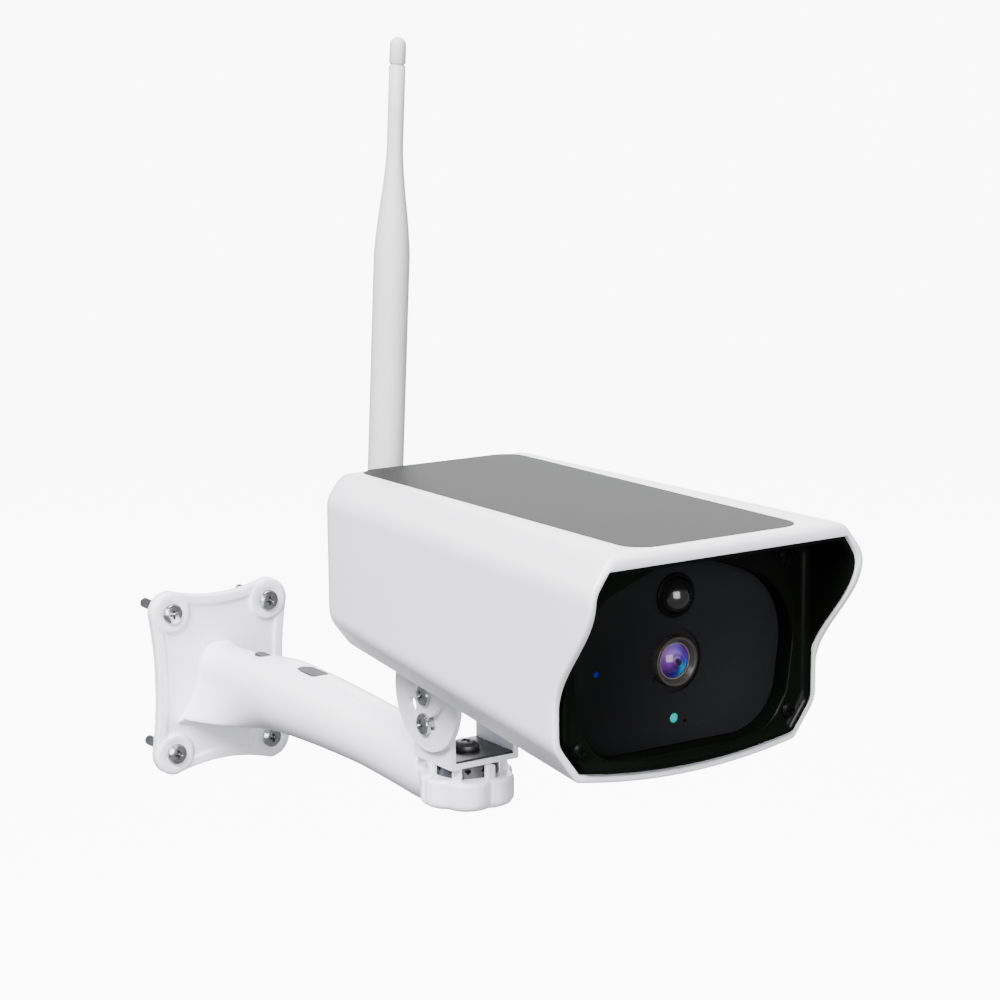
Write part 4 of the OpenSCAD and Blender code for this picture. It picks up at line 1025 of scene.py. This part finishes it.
def roundCutter(node, radius, front, back):
    spot = middle(node)
    return turned("cutter", [(0, front), (radius, front), (radius, back), (0, back)],
                  at=Vector((spot.x, plateBox[0].y, spot.z)), count=72)


def buildFrontPlate():
    # smoky window with openings for the lens, the sensor, the lamps and the microphone
    thick = (plateBox[1].y - plateBox[0].y) / mm
    rows = [[(x, y, z) for x, z in dishOutline(grow)]
            for grow, y in ((-0.5, 0.0), (-0.12, 0.12), (0.0, 0.5), (0.0, thick))]
    window = rings("frontPlate", rows, at=Vector((0, plateBox[0].y, headOrigin.z)))
    cuts = [("lens_barrel", 9.8, -2, 0.8), ("lens_barrel", 7.7, -2, 6), ("pir_dome", 6.35, -2, 6),
            ("status_led", 1.55, -2, 6), ("link_led", 1.05, -2, 6), ("microphone", 0.6, -2, 6)]
    for node, radius, front, back in cuts:
        combine(window, roundCutter(node, radius, front, back))
    return shade(window, 30)


place(buildFrontPlate(), "camera", plateGrey, ["front_plate"], "plate_grey")

domeLow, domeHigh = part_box("pir_dome")
domeAt = Vector((0, 0, (domeLow.z + domeHigh.z) / 2))


def buildDome():
    outer = (domeHigh.x - domeLow.x) / 2 / mm
    inner = outer - 0.8
    level = domeLow.y / mm + outer
    profile = [(0, level - outer)]
    profile += [(outer * sin(radians(6 * k)), level - outer * cos(radians(6 * k))) for k in range(1, 16)]
    profile += [(outer, domeHigh.y / mm), (inner, domeHigh.y / mm)]
    profile += [(inner * sin(radians(6 * k)), level - inner * cos(radians(6 * k))) for k in range(15, 0, -1)]
    profile.append((0, level - inner))
    return shade(turned("sensorDome", profile, at=domeAt, count=80), 50)


place(buildDome(), "camera", domeBlack, ["pir_dome"], "dome_black")


def lampPiece(name, node, material, slotName):
    # domed lamp with a shoulder behind the plate
    low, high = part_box(node)
    at = Vector(((low.x + high.x) / 2, 0, (low.z + high.z) / 2))
    outer = (high.x - low.x) / 2 / mm
    r = outer - 0.5
    front, back = low.y / mm, high.y / mm
    profile = [(0, front)]
    profile += [(r * sin(radians(15 * k)), front + 0.45 * (1 - cos(radians(15 * k)))) for k in range(1, 7)]
    profile += [(r, back - 1.4), (outer, back - 1.4), (outer, back), (0, back)]
    return place(shade(turned(name, profile, at=at, count=40), 40), "camera", material, [node], slotName)


lampPiece("statusLamp", "status_led", tealLamp, "lamp_teal")
lampPiece("linkLamp", "link_led", blueLamp, "lamp_blue")
print("lens, dome and lamps made")


# pieces kept from the solid model: material and the width of the softened edges

kept = {
    "arm_screws": (darkSteel, 0.1), "arm_port_plugs": (darkRubber, 0.5), "detent_ring": (darkSteel, 0.15),
    "pan_yoke": (whiteCasting, 0.35), "yoke_floor_plate": (darkSteel, 0.12), "pan_nut": (darkSteel, 0.2),
    "ear_nuts": (darkSteel, 0.2), "tilt_bracket": (whiteCasting, 0.35), "bracket_screws": (brightSteel, 0.08),
    "solar_gasket": (darkRubber, 0), "solar_board": (boardGreen, 0), "solar_cells": (solarSilicon, 0),
    "solar_glass": (solarFace, 0.35), "front_gasket": (darkRubber, 0), "bezel_screws": (screwBlack, 0.08),
    "lens_barrel": (barrelBlack, 0.25), "lens_ring": (ringGrey, 0.1),
    "lens_holder": (chipBlack, 0.2), "sensor_board": (boardGreen, 0), "image_sensor": (chipBlack, 0.1),
    "ir_board": (boardGreen, 0), "ir_leds": (clearLamp, 0.2), "pir_collar": (blackGloss, 0.3),
    "pir_sensor": (brightSteel, 0.1), "microphone": (brightSteel, 0.1), "main_board": (boardGreen, 0),
    "board_chips": (chipBlack, 0.1), "usb_socket": (brightSteel, 0.1), "card_socket": (brightSteel, 0.1),
    "battery_tray": (chipBlack, 0.2), "battery_cells": (cellWrap, 0.4), "rear_cover": (whiteShell, 0.3),
    "rear_gasket": (darkRubber, 0), "rear_screws": (brightSteel, 0.08), "antenna_jack": (goldPlate, 0.1),
    "jack_nut": (goldPlate, 0.15), "flap_pin": (brightSteel, 0.05), "power_button": (buttonGrey, 0.4),
    "port_flap": (flapGrey, 0.3), "antenna_swivel": (antennaWhite, 0.4), "fold_pin": (brightSteel, 0.1),
}
for name, (material, width) in kept.items():
    piece = nodes[name]
    piece.data.materials.clear()
    piece.data.materials.append(material)
    if width:
        soften(piece, width)
print("kept pieces:", len(kept))


# floor, light and camera

stage = {"floorDrop": 0.42, "flat": 3.4, "bend": 1.6, "rise": 6.0, "paper": (0.92, 0.92, 0.925), "glow": 9}


def buildFloor():
    # pale paper that sweeps up all round the object
    flat, bend = stage["flat"] / mm, stage["bend"] / mm
    profile = [(0, 0), (flat, 0)]
    profile += [(flat + bend * sin(radians(9 * k)), bend * (1 - cos(radians(9 * k)))) for k in range(1, 11)]
    profile.append((flat + bend, stage["rise"] / mm))
    floor = turned("paperFloor", profile, at=Vector((0, 0, cadBox[0][2] - stage["floorDrop"])), axis="Z",
                   count=96)
    paper = finish("paper", stage["paper"], 0.9, spread=0.005, grain=60, bump=0.0, specular=0.1)
    shader = paper.node_tree.nodes["Principled BSDF"]
    shader.inputs["Emission Color"].default_value = (1, 1, 1, 1)
    shader.inputs["Emission Strength"].default_value = stage["glow"]
    floor.data.materials.append(paper)
    # the paper is bright, but throws no light or shadow on the object
    floor.visible_diffuse = floor.visible_glossy = floor.visible_shadow = False
    shade(floor, 60)


def softLight(name, at, target, size, power, colour=(1, 1, 1)):
    data = bpy.data.lights.new(name, "AREA")
    data.shape = "RECTANGLE"
    data.size, data.size_y = size
    data.energy = power
    data.color = colour
    lamp = bpy.data.objects.new(name, data)
    lamp.location = at
    lamp.rotation_euler = (Vector(target) - Vector(at)).to_track_quat("-Z", "Y").to_euler()
    bpy.context.scene.collection.objects.link(lamp)


def buildLight():
    centre = (0, -0.2, 0.08)
    softLight("keyLight", (-1.25, -0.85, 1.5), centre, (1.0, 1.0), 190)
    softLight("fillLight", (-0.5, -1.9, 0.35), centre, (1.2, 1.2), 42)
    softLight("backLight", (1.5, 1.5, 0.9), centre, (1.4, 1.4), 34)
    softLight("topLight", (0.1, 0.1, 1.9), centre, (1.4, 1.4), 66)
    world = bpy.data.worlds.new("studio")
    world.use_nodes = True
    sky = world.node_tree.nodes["Background"]
    sky.inputs["Color"].default_value = (0.97, 0.98, 1.0, 1)
    sky.inputs["Strength"].default_value = 0.36
    bpy.context.scene.world = world


def buildCamera():
    view = {"at": (-0.456777, -0.889712, 0.258698), "target": (-0.039693, -0.262, 0.114783),
            "roll": -0.45, "lens": 93.6}
    data = bpy.data.cameras.new("view")
    data.lens = view["lens"]
    data.sensor_width = 36
    data.clip_start, data.clip_end = 0.01, 50
    camera = bpy.data.objects.new("view", data)
    camera.location = view["at"]
    aim = (Vector(view["target"]) - Vector(view["at"])).to_track_quat("-Z", "Y")
    roll = Matrix.Rotation(radians(view["roll"]), 4, "Z")
    camera.rotation_euler = (aim.to_matrix().to_4x4() @ roll).to_euler()
    bpy.context.scene.collection.objects.link(camera)
    bpy.context.scene.camera = camera


buildFloor()
buildLight()
buildCamera()
print("stage set")
